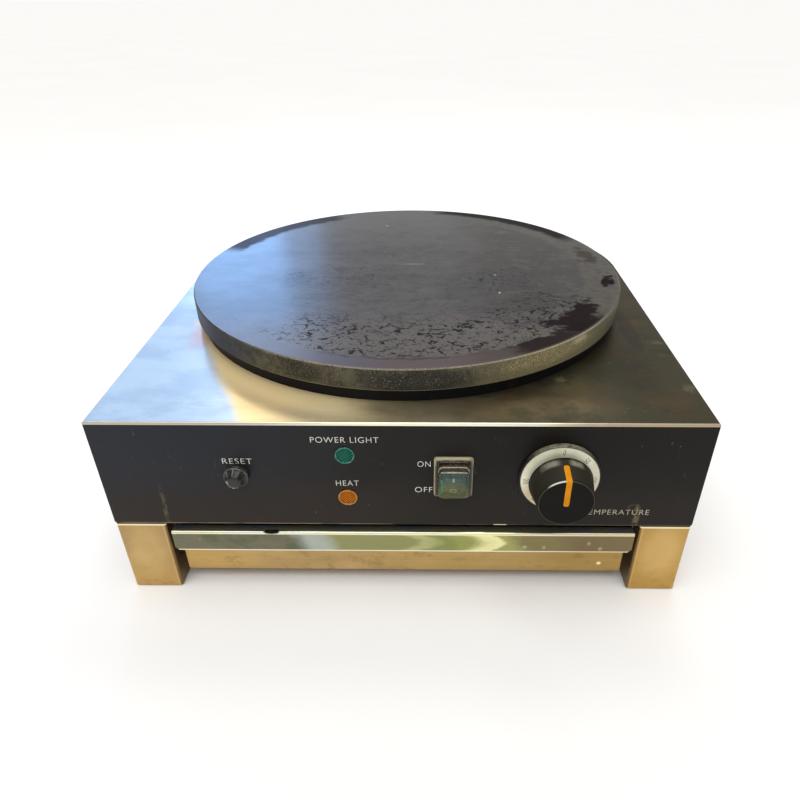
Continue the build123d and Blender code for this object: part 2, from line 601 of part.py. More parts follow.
def element_ends(loop_r):
    """Where the two ends of an element come straight down, in plan."""
    ahead = Vector(-sin(radians(HAIRPIN_START)), cos(radians(HAIRPIN_START)), 0)
    radii = (loop_r, loop_r - 2 * HAIRPIN_R)
    ends = [around_axis(r, HAIRPIN_START, 0) - ahead * TUBE_BEND_R for r in radii]
    return [(end.X, end.Y) for end in ends]


pieces["heating_element_outer"] = hairpin_element(OUTER_LOOP_R)
pieces["heating_element_inner"] = hairpin_element(INNER_LOOP_R)
ELEMENT_ENDS = element_ends(OUTER_LOOP_R) + element_ends(INNER_LOOP_R)

with BuildPart() as element_clamp:
    with BuildSketch(level(CLAMP_Z)):
        with Locations((0, MID_Y)):
            Circle(CLAMP_RING_R + CLAMP_RING_W / 2)
            Circle(CLAMP_RING_R - CLAMP_RING_W / 2, mode=Mode.SUBTRACT)
            with PolarLocations(0, 2, start_angle=45, angular_range=180):
                Rectangle(2 * CLAMP_ARM_R, CLAMP_ARM_W)
            Circle(CLAMP_HUB_R)
        with Locations(*STUDS):
            Circle(M8_R + HOLE_FIT, mode=Mode.SUBTRACT)
    extrude(amount=CLAMP_T)
pieces["element_clamp"] = element_clamp

with BuildPart() as insulation_disc:
    with BuildSketch(level(PAN_FLOOR_Z)):
        with Locations((0, MID_Y)):
            Circle(PAN_R - PAN_SHEET - INSULATION_FIT)
        with Locations(*STUDS):
            Circle(SPACER_R + HOLE_FIT, mode=Mode.SUBTRACT)
        with Locations(*ELEMENT_ENDS):
            Circle(TUBE_R + TUBE_HOLE_FIT, mode=Mode.SUBTRACT)
        with Locations(*CAPILLARY_HOLES):
            Circle(CAPILLARY_R + CAPILLARY_HOLE_FIT, mode=Mode.SUBTRACT)
    extrude(amount=INSULATION_T)
pieces["insulation_disc"] = insulation_disc

with BuildPart() as heat_pan:
    with BuildSketch(level(PAN_Z)):
        with Locations((0, MID_Y)):
            Circle(PAN_R)
    extrude(amount=TOP_Z + PAN_SHEET - PAN_Z)
    with BuildSketch(level(TOP_Z)):
        with Locations((0, MID_Y)):
            Circle(PAN_FLANGE_R)
    extrude(amount=PAN_SHEET)
    with BuildSketch(level(PAN_FLOOR_Z)):
        with Locations((0, MID_Y)):
            Circle(PAN_R - PAN_SHEET)
    extrude(amount=TOP_Z + PAN_SHEET - PAN_FLOOR_Z, mode=Mode.SUBTRACT)
    with BuildSketch(level(PAN_Z)):
        with Locations(*STUDS):
            Circle(M8_R + HOLE_FIT)
        with Locations(*ELEMENT_ENDS):
            Circle(TUBE_R + TUBE_HOLE_FIT)
        with Locations(*CAPILLARY_HOLES):
            Circle(CAPILLARY_R + CAPILLARY_HOLE_FIT)
    extrude(amount=PAN_SHEET, mode=Mode.SUBTRACT)
pieces["heat_pan"] = heat_pan

with BuildPart() as plate_studs:
    stud_end_z = BRIDGE_TOP_Z - BRIDGE_T - M8_NUT_H - THREAD_STICK_OUT
    with BuildSketch(level(stud_end_z)):
        with Locations(*STUDS):
            Circle(M8_R)
    extrude(amount=RIM_Z + STUD_GRIP - stud_end_z)
pieces["plate_studs"] = plate_studs

with BuildPart() as plate_nuts:
    with BuildSketch(level(BRIDGE_TOP_Z - BRIDGE_T)):
        with Locations(*STUDS):
            RegularPolygon(M8_NUT_R, 6)
            Circle(M8_R, mode=Mode.SUBTRACT)
    extrude(amount=-M8_NUT_H)
pieces["plate_nuts"] = plate_nuts


def spacer_tubes(low, high):
    """Tubes round the four studs, from one height to another."""
    with BuildPart() as tubes:
        with BuildSketch(level(low)):
            with Locations(*STUDS):
                Circle(SPACER_R)
                Circle(M8_R + HOLE_FIT, mode=Mode.SUBTRACT)
        extrude(amount=high - low)
    return tubes


pieces["pan_spacers"] = spacer_tubes(BRIDGE_TOP_Z, PAN_Z)
pieces["clamp_spacers"] = spacer_tubes(PAN_FLOOR_Z, CLAMP_Z)


def support_bridge(side):
    """A hat-section bar that carries two of the griddle's studs above the base plate."""
    x = side * STUD_OFFSET
    rise = BRIDGE_TOP_Z - FLOOR_Z
    leg_y = BRIDGE_L / 2 - BRIDGE_FOOT_L
    with BuildPart() as bridge:
        with BuildSketch(Plane(origin=(x, MID_Y, FLOOR_Z), x_dir=(0, 1, 0), z_dir=(1, 0, 0))):
            with Locations((0, 0)):
                Rectangle(2 * leg_y, rise, align=(Align.CENTER, Align.MIN))
                Rectangle(2 * (leg_y - BRIDGE_T), rise - BRIDGE_T, align=(Align.CENTER, Align.MIN),
                          mode=Mode.SUBTRACT)
            for end in (-1, 1):
                with Locations((end * (leg_y + BRIDGE_FOOT_L / 2), 0)):
                    Rectangle(BRIDGE_FOOT_L, BRIDGE_T, align=(Align.CENTER, Align.MIN))
        extrude(amount=BRIDGE_W / 2, both=True)
        with BuildSketch(level(BRIDGE_TOP_Z)):
            with Locations(*[(x, MID_Y + end * STUD_OFFSET) for end in (-1, 1)]):
                Circle(M8_R + HOLE_FIT)
        extrude(amount=-BRIDGE_T, mode=Mode.SUBTRACT)
        with BuildSketch(level(FLOOR_Z)):
            with Locations(*[(x, MID_Y + end * (BRIDGE_L - BRIDGE_FOOT_L) / 2) for end in (-1, 1)]):
                Circle(M5_R + HOLE_FIT)
        extrude(amount=BRIDGE_T, mode=Mode.SUBTRACT)
    return bridge


pieces["support_bridge_left"] = support_bridge(-1)
pieces["support_bridge_right"] = support_bridge(1)

with BuildPart() as bridge_bolts:
    with BuildSketch(level(FLOOR_Z + BRIDGE_T)):
        with Locations(*BRIDGE_FEET):
            Circle(M5_HEAD_R)
    extrude(amount=M5_HEAD_H)
    with BuildSketch(level(FLOOR_Z + BRIDGE_T)):
        with Locations(*BRIDGE_FEET):
            Circle(M5_R)
    extrude(amount=-(BRIDGE_T + SHEET + M5_NUT_H))
pieces["bridge_bolts"] = bridge_bolts

with BuildPart() as bridge_nuts:
    with BuildSketch(level(BASE_Z)):
        with Locations(*BRIDGE_FEET):
            RegularPolygon(M5_NUT_R, 6)
            Circle(M5_R, mode=Mode.SUBTRACT)
    extrude(amount=-M5_NUT_H)
pieces["bridge_nuts"] = bridge_nuts


# ================================================================ drawer
with BuildPart() as drawer_tray:
    tray_l = TRAY_REAR_Y - TRAY_FRONT_Y
    with Locations((0, TRAY_FRONT_Y + tray_l / 2, TRAY_FLOOR_Z)):
        Box(2 * TRAY_HALF_W, tray_l, TRAY_H, align=(Align.CENTER, Align.CENTER, Align.MIN))
    fillet(drawer_tray.faces().sort_by(Axis.Z)[0].edges(), radius=DRAWER_BEND_R)
    offset(amount=-DRAWER_SHEET, openings=drawer_tray.faces().sort_by(Axis.Z)[-1])
    flange_x = TRAY_HALF_W + (TRAY_FLANGE_W - DRAWER_SHEET) / 2
    with Locations(*[(side * flange_x, TRAY_FRONT_Y + tray_l / 2, TRAY_TOP_Z) for side in (-1, 1)]):
        Box(TRAY_FLANGE_W + DRAWER_SHEET, tray_l, DRAWER_SHEET,
            align=(Align.CENTER, Align.CENTER, Align.MAX))
pieces["drawer_tray"] = drawer_tray

with BuildPart() as drawer_front:
    with BuildSketch(PANEL) as lip:
        with Locations((0, LIP_TOP_Z)):
            Rectangle(2 * LIP_HALF_W, LIP_H, align=(Align.CENTER, Align.MAX))
        chamfer(lip.vertices().group_by(Axis.Y)[0], length=LIP_CORNER)
    extrude(amount=-DRAWER_SHEET)
    with BuildSketch(PANEL):
        with Locations((0, LIP_TOP_Z)):
            Rectangle(2 * LIP_HALF_W, DRAWER_SHEET, align=(Align.CENTER, Align.MAX))
    extrude(amount=-TRAY_SETBACK)
    with BuildSketch(PANEL):
        with Locations((0, LIP_TOP_Z - LIP_H)):
            Rectangle(2 * (LIP_HALF_W - LIP_CORNER), DRAWER_SHEET, align=(Align.CENTER, Align.MIN))
    extrude(amount=-LIP_HEM)
    with BuildSketch(behind(TRAY_SETBACK)):
        with Locations((0, LIP_TOP_Z)):
            Rectangle(2 * LIP_HALF_W, LIP_BACK_H, align=(Align.CENTER, Align.MAX))
    extrude(amount=DRAWER_SHEET)
    front_edges = drawer_front.edges().filter_by(Axis.X).group_by(Axis.Y)[0]
    fillet(front_edges.sort_by(Axis.Z)[-1], radius=LIP_TOP_BEND)
    front_edges = drawer_front.edges().filter_by(Axis.X).group_by(Axis.Y)[0]
    fillet(front_edges.sort_by(Axis.Z)[0], radius=LIP_BOTTOM_BEND)
    with BuildSketch(PANEL) as notch:
        with Locations((LIP_NOTCH_X, LIP_TOP_Z)):
            Rectangle(LIP_NOTCH_W, LIP_NOTCH_DEPTH, align=(Align.CENTER, Align.MAX))
        chamfer(notch.vertices().group_by(Axis.Y)[0], length=LIP_NOTCH_DEPTH - FIT)
    extrude(amount=-LIP_NOTCH_REACH, mode=Mode.SUBTRACT)
pieces["drawer_front"] = drawer_front


def drawer_rail(side):
    """A C-section rail under the base plate; the drawer's side flange runs inside it."""
    web_x = side * (RAIL_OUTER_X - RAIL_T / 2)
    inner_x = TRAY_HALF_W + SLIDE_GAP
    with BuildPart() as rail:
        with BuildSketch(behind(RAIL_START_DEPTH)):
            with Locations((web_x, RAIL_SHELF_Z - RAIL_T)):
                Rectangle(RAIL_T, BASE_Z - RAIL_SHELF_Z + RAIL_T, align=(Align.CENTER, Align.MIN))
            with Locations((side * (inner_x + RAIL_OUTER_X) / 2, RAIL_SHELF_Z)):
                Rectangle(RAIL_OUTER_X - inner_x, RAIL_T, align=(Align.CENTER, Align.MAX))
            with Locations((side * (RAIL_OUTER_X - RAIL_FLANGE_W / 2), BASE_Z)):
                Rectangle(RAIL_FLANGE_W, RAIL_T, align=(Align.CENTER, Align.MAX))
        extrude(amount=-RAIL_L)
        with BuildSketch(level(BASE_Z)):
            with Locations(*[place for place in RIVETS if place[0] * side > 0]):
                Circle(RIVET_R + HOLE_FIT)
        extrude(amount=-RAIL_T, mode=Mode.SUBTRACT)
    return rail


with BuildPart() as rail_rivets:
    with BuildSketch(level(FLOOR_Z)):
        with Locations(*RIVETS):
            Circle(RIVET_HEAD_R)
    extrude(amount=RIVET_HEAD_H)
    with BuildSketch(level(FLOOR_Z)):
        with Locations(*RIVETS):
            Circle(RIVET_R)
    extrude(amount=-(SHEET + RAIL_T))
    with BuildSketch(level(BASE_Z - RAIL_T)):
        with Locations(*RIVETS):
            Circle(RIVET_HEAD_R)
    extrude(amount=-RIVET_HEAD_H)
pieces["rail_rivets"] = rail_rivets
pieces["drawer_rail_left"] = drawer_rail(-1)
pieces["drawer_rail_right"] = drawer_rail(1)


# ================================================================ thermostat and knob
def d_shape(radius, flat):
    """The section of a shaft with one flat, in the current sketch."""
    Circle(radius)
    with Locations((0, flat)):
        Rectangle(2 * radius, radius, align=(Align.CENTER, Align.MIN), mode=Mode.SUBTRACT)


def knob_outline(grow):
    """Half section of the knob's tapered outside, grown on every side: radius, distance back."""
    return [
        (0, -KNOB_REACH - grow),
        (KNOB_FACE_R + grow, -KNOB_REACH - grow),
        (KNOB_BASE_R + grow, -KNOB_BACK),
        (0, -KNOB_BACK),
    ]


KNOB_AXIS = Axis((KNOB_X, FRONT_Y, KNOB_Z), (0, 1, 0))

with BuildPart() as knob_pointer:
    with BuildSketch(on_axis(KNOB_X, KNOB_Z)):
        Polygon(*knob_outline(POINTER_PROUD), align=None)
    revolve(axis=KNOB_AXIS)
    fillet(knob_pointer.faces().sort_by(Axis.Y)[0].edges(), radius=KNOB_EDGE_R)
    with BuildSketch(on_axis(KNOB_X, KNOB_Z)):
        Polygon(*knob_outline(POINTER_PROUD - POINTER_T), align=None)
    revolve(axis=KNOB_AXIS, mode=Mode.SUBTRACT)
    with BuildSketch(PANEL.offset(POINTER_BACK)):
        with Locations((KNOB_X, KNOB_Z - POINTER_PAST_CENTRE)):
            Rectangle(POINTER_W, KNOB_BASE_R * 2, align=(Align.CENTER, Align.MIN))
    extrude(amount=KNOB_REACH, mode=Mode.INTERSECT)
    straight_edges = knob_pointer.edges().filter_by(GeomType.LINE)
    end_corners = straight_edges.filter_by(lambda edge: edge.length < 2 * POINTER_T)
    fillet(end_corners, radius=POINTER_END_R)
pieces["knob_pointer"] = knob_pointer

with BuildPart() as knob:
    with BuildSketch(on_axis(KNOB_X, KNOB_Z)):
        Polygon(*knob_outline(0), align=None)
    revolve(axis=KNOB_AXIS)
    fillet(knob.faces().sort_by(Axis.Y)[0].edges(), radius=KNOB_EDGE_R)
    with BuildSketch(on_axis(KNOB_X, KNOB_Z)):
        Polygon((0, KNOB_WALL - KNOB_REACH), (KNOB_FACE_R - KNOB_WALL, KNOB_WALL - KNOB_REACH),
                (KNOB_BASE_R - KNOB_WALL, -KNOB_BACK), (0, -KNOB_BACK), align=None)
    revolve(axis=KNOB_AXIS, mode=Mode.SUBTRACT)
    with BuildSketch(PANEL.offset(KNOB_HUB_BACK)):
        with Locations((KNOB_X, KNOB_Z)):
            Circle(KNOB_HUB_R)
    extrude(amount=KNOB_REACH - KNOB_WALL / 2 - KNOB_HUB_BACK)
    with BuildSketch(PANEL.offset(KNOB_HUB_BACK)):
        with Locations((KNOB_X, KNOB_Z)):
            d_shape(SHAFT_R, SHAFT_FLAT)
    extrude(amount=KNOB_REACH - KNOB_WALL - SHAFT_TIP_GAP - KNOB_HUB_BACK, mode=Mode.SUBTRACT)
    add(knob_pointer.part, mode=Mode.SUBTRACT)
pieces["knob"] = knob

with BuildPart() as thermostat_shaft:
    with BuildSketch(PANEL.offset(KNOB_REACH - KNOB_WALL - SHAFT_TIP_GAP)):
        with Locations((KNOB_X, KNOB_Z)):
            d_shape(SHAFT_R, SHAFT_FLAT)
    extrude(amount=KNOB_HUB_BACK + KNOB_WALL + SHAFT_TIP_GAP - KNOB_REACH)
    with BuildSketch(PANEL.offset(KNOB_HUB_BACK)):
        with Locations((KNOB_X, KNOB_Z)):
            Circle(SHAFT_R)
    extrude(amount=-(KNOB_HUB_BACK + SHEET + THERMOSTAT_SHAFT_DEPTH))
pieces["thermostat_shaft"] = thermostat_shaft

with BuildPart() as thermostat_body:
    with BuildSketch(behind(SHEET)):
        with Locations((KNOB_X, KNOB_Z)):
            RectangleRounded(THERMOSTAT_W, THERMOSTAT_H, THERMOSTAT_CORNER_R)
    extrude(amount=-THERMOSTAT_DEPTH)
    with BuildSketch(behind(SHEET)):
        with Locations((KNOB_X, KNOB_Z)):
            Circle(SHAFT_R + RUNNING_FIT)
    extrude(amount=-(THERMOSTAT_SHAFT_DEPTH + RESET_GAP), mode=Mode.SUBTRACT)
    with BuildSketch(behind(SHEET)):
        with Locations(*THERMOSTAT_SCREWS):
            Circle(M4_R + HOLE_FIT)
    extrude(amount=-THERMOSTAT_SCREW_L, mode=Mode.SUBTRACT)
    with BuildSketch(behind(SHEET + THERMOSTAT_DEPTH)):
        with Locations((KNOB_X, KNOB_Z - THERMOSTAT_H / 4)):
            with GridLocations(BLADE_PITCH, 0, 3, 1):
                Rectangle(BLADE_T, BLADE_W)
    extrude(amount=-BLADE_L)
pieces["thermostat_body"] = thermostat_body

with BuildPart() as thermostat_screws:
    with BuildSketch(behind(SHEET)):
        with Locations(*THERMOSTAT_SCREWS):
            Circle(M4_HEAD_R)
    extrude(amount=SHEET)
    with BuildSketch(behind(SHEET)):
        with Locations(*THERMOSTAT_SCREWS):
            Circle(M4_R)
    extrude(amount=-THERMOSTAT_SCREW_L)
pieces["thermostat_screws"] = thermostat_screws

with BuildPart() as dial_bezel:
    with BuildSketch(PANEL):
        with Locations((KNOB_X, KNOB_Z)):
            Circle(DIAL_R)
            Circle(DIAL_BORE_R, mode=Mode.SUBTRACT)
    extrude(amount=DIAL_T)
    chamfer(dial_bezel.edges().group_by(Axis.Y)[0].sort_by(Edge.length)[-1], length=DIAL_EDGE)
    with BuildSketch(PANEL.offset(DIAL_T)):
        with Locations((KNOB_X, KNOB_Z)):
            Circle(DIAL_RING_R)
            Circle(DIAL_RING_BORE_R, mode=Mode.SUBTRACT)
    extrude(amount=-(DIAL_RING_T - DIAL_RING_PROUD), mode=Mode.SUBTRACT)
pieces["dial_bezel"] = dial_bezel

with BuildPart() as dial_ring:
    with BuildSketch(PANEL.offset(DIAL_T + DIAL_RING_PROUD)):
        with Locations((KNOB_X, KNOB_Z)):
            Circle(DIAL_RING_R)
            Circle(DIAL_RING_BORE_R, mode=Mode.SUBTRACT)
    extrude(amount=-DIAL_RING_T)
pieces["dial_ring"] = dial_ring


def capillary(side, device_x, device_z, device_depth):
    """A sensing bulb on the element clamp, and its tube down through the heat pan to its device."""
    x = side * BULB_X
    bulb_end_y = MID_Y - BULB_L / 2
    points = [
        (x, bulb_end_y, BULB_Z),
        (x, CAPILLARY_DOWN_Y, BULB_Z),
        (x, CAPILLARY_DOWN_Y, PAN_Z - CAPILLARY_DROP),
        (x, FRONT_Y + device_depth + 2 * CAPILLARY_DROP, PAN_Z - CAPILLARY_DROP),
        (device_x, FRONT_Y + device_depth + CAPILLARY_DROP, device_z),
        (device_x, FRONT_Y + device_depth, device_z),
    ]
    with BuildPart() as sensor:
        with BuildLine() as route:
            FilletPolyline(*points, radius=CAPILLARY_BEND_R)
        with BuildSketch(Plane(origin=points[0], z_dir=(0, -1, 0))):
            Circle(CAPILLARY_R)
        sweep(path=route.wires()[0])
        with BuildSketch(Plane(origin=points[0], z_dir=(0, 1, 0))):
            Circle(BULB_R)
        extrude(amount=BULB_L)
    return sensor


pieces["thermostat_capillary"] = capillary(
    1, KNOB_X, KNOB_Z + THERMOSTAT_H / 4, SHEET + THERMOSTAT_DEPTH
)
pieces["limiter_capillary"] = capillary(-1, RESET_X, RESET_Z, SHEET + LIMITER_DEPTH)


# ================================================================ reset limiter
with BuildPart() as limiter_body:
    with BuildSketch(behind(SHEET)):
        with Locations((RESET_X, RESET_Z)):
            Circle(LIMITER_R)
    extrude(amount=-LIMITER_DEPTH)
    with BuildSketch(behind(SHEET)):
        with Locations((RESET_X, RESET_Z)):
            Circle(BUSHING_R)
    extrude(amount=SHEET + BUSHING_REACH)
    with BuildSketch(PANEL.offset(BUSHING_REACH)):
        with Locations((RESET_X, RESET_Z)):
            Circle(PIN_R + RUNNING_FIT)
    extrude(amount=-(BUSHING_REACH + PIN_DEPTH + PIN_TRAVEL + RESET_GAP), mode=Mode.SUBTRACT)
    with BuildSketch(behind(SHEET + LIMITER_DEPTH)):
        with Locations((RESET_X, RESET_Z - LIMITER_R / 2)):
            with GridLocations(BLADE_PITCH, 0, 2, 1):
                Rectangle(BLADE_T, BLADE_W)
    extrude(amount=-BLADE_L)
pieces["limiter_body"] = limiter_body

with BuildPart() as reset_nut:
    with BuildSketch(PANEL):
        with Locations((RESET_X, RESET_Z)):
            Circle(RESET_NUT_R)
            Circle(BUSHING_R, mode=Mode.SUBTRACT)
    extrude(amount=RESET_NUT_T)
    chamfer(reset_nut.edges().group_by(Axis.Y)[0].sort_by(Edge.length)[-1], length=RESET_NUT_EDGE)
pieces["reset_nut"] = reset_nut

with BuildPart() as reset_cap:
    with BuildSketch(PANEL.offset(RESET_NUT_T + RESET_GAP)):
        with Locations((RESET_X, RESET_Z)):
            RegularPolygon(RESET_CAP_R, 6)
    extrude(amount=RESET_CAP_REACH - RESET_NUT_T - RESET_GAP)
    chamfer(reset_cap.faces().sort_by(Axis.Y)[0].edges(), length=RESET_CAP_EDGE)
    with BuildSketch(PANEL.offset(RESET_NUT_T + RESET_GAP)):
        with Locations((RESET_X, RESET_Z)):
            Circle(BUSHING_R + RUNNING_FIT)
    extrude(amount=BUSHING_REACH - RESET_NUT_T, mode=Mode.SUBTRACT)
    with BuildSketch(PANEL.offset(RESET_NUT_T + RESET_GAP)):
        with Locations((RESET_X, RESET_Z)):
            Circle(RESET_CAP_BORE_R)
    extrude(amount=RESET_CAP_REACH - RESET_CAP_WALL - RESET_NUT_T - RESET_GAP, mode=Mode.SUBTRACT)
pieces["reset_cap"] = reset_cap

with BuildPart() as reset_button:
    with BuildSketch(PANEL.offset(PIN_REACH)):
        with Locations((RESET_X, RESET_Z)):
            Circle(PIN_R)
    extrude(amount=-(PIN_REACH + PIN_DEPTH))
pieces["reset_button"] = reset_button


# ================================================================ pilot lamps
def lamp_lens(height):
    """A coloured lens with a rim that stands on the panel and a shallow dome."""
    z = BASE_Z + height
    with BuildPart() as lens:
        with BuildSketch(on_axis(LAMP_X, z)):
            with BuildLine():
                dome_r = (LENS_DOME_R**2 + LENS_DOME_H**2) / (2 * LENS_DOME_H)
                Polyline((0, -LENS_RIM_T - LENS_DOME_H), (0, 0), (LENS_R, 0),
                         (LENS_R, LENS_EDGE - LENS_RIM_T), (LENS_R - LENS_EDGE, -LENS_RIM_T),
                         (LENS_DOME_R, -LENS_RIM_T))
                RadiusArc((LENS_DOME_R, -LENS_RIM_T), (0, -LENS_RIM_T - LENS_DOME_H), dome_r)
            make_face()
        revolve(axis=Axis((LAMP_X, FRONT_Y, z), (0, 1, 0)))
    return lens


def lamp_body(height):
    """The lamp's body behind its lens, held by a spring clip against the panel's back."""
    with BuildPart() as body:
        with BuildSketch(PANEL):
            with Locations((LAMP_X, BASE_Z + height)):
                Circle(LAMP_BODY_R)
        extrude(amount=-LAMP_BODY_DEPTH)
        with BuildSketch(behind(SHEET)):
            with Locations((LAMP_X, BASE_Z + height)):
                Circle(LAMP_CLIP_R)
        extrude(amount=-LAMP_CLIP_T)
        with BuildSketch(behind(LAMP_BODY_DEPTH)):
            with Locations((LAMP_X, BASE_Z + height)):
                with GridLocations(LAMP_BODY_R, 0, 2, 1):
                    Rectangle(BLADE_T, LAMP_BODY_R)
        extrude(amount=-BLADE_L)
    return body


pieces["lamp_power_lens"] = lamp_lens(POWER_LAMP_H)
pieces["lamp_power_body"] = lamp_body(POWER_LAMP_H)
pieces["lamp_heat_lens"] = lamp_lens(HEAT_LAMP_H)
pieces["lamp_heat_body"] = lamp_body(HEAT_LAMP_H)

# ================================================================ rocker switch
OPEN_W = BEZEL_W - 2 * BEZEL_FRAME
OPEN_H = BEZEL_H - 2 * BEZEL_FRAME
BOOT_STEP_OUT = (BOOT_REACH - BOOT_FIRST) / (BOOT_LEVELS - 1)
BOOT_FRONTS = [BOOT_FIRST + step * BOOT_STEP_OUT for step in range(BOOT_LEVELS)]


def boot_size(step, inset):
    """Width and height of one fold of the boot, moved in by inset."""
    return (OPEN_W - 2 * (step * BOOT_STEP_SIDE + inset), OPEN_H - 2 * (step * BOOT_STEP_IN + inset))


with BuildPart() as switch_bezel:
    with BuildSketch(PANEL):
        with Locations((SWITCH_X, SWITCH_Z)):
            RectangleRounded(BEZEL_W, BEZEL_H, BEZEL_CORNER_R)
            RectangleRounded(OPEN_W, OPEN_H, BEZEL_CORNER_R, mode=Mode.SUBTRACT)
    extrude(amount=BEZEL_T)
    fillet(switch_bezel.faces().sort_by(Axis.Y)[0].outer_wire().edges(), radius=BEZEL_EDGE_R)
pieces["switch_bezel"] = switch_bezel

with BuildPart() as switch_boot:
    back = 0.0
    for step, front in enumerate(BOOT_FRONTS):
        with BuildSketch(PANEL.offset(back)):
            with Locations((SWITCH_X, SWITCH_Z)):
                RectangleRounded(*boot_size(step, FIT), BOOT_CORNER_R)
        extrude(amount=front - back)
        back = front
    fillet(switch_boot.faces().sort_by(Axis.Y)[0].outer_wire().edges(), radius=BOOT_WALL)
    back = 0.0
    for step, front in enumerate(BOOT_FRONTS):
        with BuildSketch(PANEL.offset(back)):
            with Locations((SWITCH_X, SWITCH_Z)):
                RectangleRounded(*boot_size(step, FIT + BOOT_WALL), BOOT_CORNER_R - BOOT_WALL)
        extrude(amount=front - BOOT_WALL - back, mode=Mode.SUBTRACT)
        back = front - BOOT_WALL
pieces["switch_boot"] = switch_boot

PIVOT_Y = FRONT_Y + PIVOT_DEPTH
POCKET_W = ROCKER_W + 2 * ROCKER_SIDE_GAP
ROCKER_PLANE = Plane(
    origin=(SWITCH_X, PIVOT_Y, SWITCH_Z),
    x_dir=(0, -cos(radians(ROCKER_TILT)), -sin(radians(ROCKER_TILT))),
    z_dir=(1, 0, 0),
)

with BuildPart() as switch_rocker:
    # section seen from the side: local x points out of the panel, local y along the face
    with BuildSketch(ROCKER_PLANE):
        tip = ROCKER_REACH + PIVOT_DEPTH
        Polygon((tip, ROCKER_L / 2), (tip - ROCKER_DISH, 0), (tip, -ROCKER_L / 2),
                (-ROCKER_TAIL, -ROCKER_TAIL_L / 2), (-ROCKER_TAIL, ROCKER_TAIL_L / 2), align=None)
    extrude(amount=ROCKER_W / 2, both=True)
    fillet(switch_rocker.edges().filter_by(Axis.X).sort_by(Axis.Y)[:3], radius=ROCKER_EDGE_R)
    with BuildSketch(ROCKER_PLANE):
        Circle(PIVOT_R)
    extrude(amount=POCKET_W / 2 + PIVOT_SEAT, both=True)
pieces["switch_rocker"] = switch_rocker

with BuildPart() as switch_body:
    with BuildSketch(PANEL):
        with Locations((SWITCH_X, SWITCH_Z)):
            Rectangle(OPEN_W, OPEN_H)
    extrude(amount=-SWITCH_DEPTH)
    with BuildSketch(PANEL):
        with Locations((SWITCH_X, SWITCH_Z)):
            Rectangle(POCKET_W, ROCKER_L + 2 * ROCKER_SIDE_GAP)
    extrude(amount=-SWITCH_POCKET_DEPTH, mode=Mode.SUBTRACT)
    with BuildSketch(Plane(origin=(SWITCH_X, PIVOT_Y, SWITCH_Z), x_dir=(0, 1, 0), z_dir=(1, 0, 0))):
        Circle(PIVOT_R + RUNNING_FIT)
    extrude(amount=POCKET_W / 2 + PIVOT_SEAT + RUNNING_FIT, both=True, mode=Mode.SUBTRACT)
    with BuildSketch(behind(SWITCH_DEPTH)):
        with Locations((SWITCH_X, SWITCH_Z)):
            with GridLocations(BLADE_PITCH, BLADE_PITCH, 2, 2):
                Rectangle(BLADE_T, BLADE_W)
    extrude(amount=-BLADE_L)
pieces["switch_body"] = switch_body

# ================================================================ supply
with BuildPart() as cable_gland:
    with BuildSketch(REAR_WALL):
        with Locations(GLAND_PLACE):
            RegularPolygon(GLAND_HEX_R, 6)
    extrude(amount=GLAND_HEX_T)
    with BuildSketch(REAR_WALL.offset(GLAND_HEX_T)):
        with Locations(GLAND_PLACE):
            Circle(GLAND_DOME_R)
    extrude(amount=GLAND_REACH - GLAND_HEX_T)
    fillet(cable_gland.faces().sort_by(Axis.Y)[-1].edges(), radius=GLAND_EDGE_R)
    with BuildSketch(REAR_WALL):
        with Locations(GLAND_PLACE):
            Circle(GLAND_THREAD_R)
    extrude(amount=-(SHEET + GLAND_INSIDE))
    with BuildSketch(REAR_WALL.offset(GLAND_REACH)):
        with Locations(GLAND_PLACE):
            Circle(GLAND_BORE_R)
    extrude(amount=-(GLAND_REACH + SHEET + GLAND_INSIDE), mode=Mode.SUBTRACT)
pieces["cable_gland"] = cable_gland

with BuildPart() as gland_locknut:
    with BuildSketch(REAR_WALL.offset(-SHEET)):
        with Locations(GLAND_PLACE):
            RegularPolygon(GLAND_HEX_R, 6)
            Circle(GLAND_THREAD_R, mode=Mode.SUBTRACT)
    extrude(amount=-LOCKNUT_T)
pieces["gland_locknut"] = gland_locknut

with BuildPart() as earth_stud:
    with BuildSketch(REAR_WALL.offset(EARTH_STICK_OUT)):
        with Locations(EARTH_PLACE):
            Circle(M5_R)
    extrude(amount=-(EARTH_STICK_OUT + SHEET + M5_NUT_H + THREAD_STICK_OUT))
pieces["earth_stud"] = earth_stud

with BuildPart() as earth_nuts:
    for nut_back in (0, -SHEET - M5_NUT_H):
        with BuildSketch(REAR_WALL.offset(nut_back)):
            with Locations(EARTH_PLACE):
                RegularPolygon(M5_NUT_R, 6)
                Circle(M5_R, mode=Mode.SUBTRACT)
        extrude(amount=M5_NUT_H)
pieces["earth_nuts"] = earth_nuts

with BuildPart() as terminal_block:
    with Locations((BLOCK_X, BLOCK_Y, FLOOR_Z)):
        Box(BLOCK_W, BLOCK_D, BLOCK_H, align=(Align.CENTER, Align.CENTER, Align.MIN))
    with BuildSketch(level(FLOOR_Z + BLOCK_H)):
        with Locations((BLOCK_X, BLOCK_Y)):
            with GridLocations(BLOCK_W / BLOCK_POLES, BLOCK_D / 2, BLOCK_POLES, 2):
                Circle(BLOCK_SCREW_R)
    extrude(amount=-BLOCK_H / 2, mode=Mode.SUBTRACT)
pieces["terminal_block"] = terminal_block


def lead(*points):
    """One insulated lead along a chosen route, with rounded turns."""
    with BuildPart() as wire:
        with BuildLine() as route:
            FilletPolyline(*points, radius=LEAD_BEND_R)
        start, following = Vector(*points[0]), Vector(*points[1])
        with BuildSketch(Plane(origin=start, z_dir=following - start)):
            Circle(LEAD_R)
        sweep(path=route.wires()[0])
    return wire.part


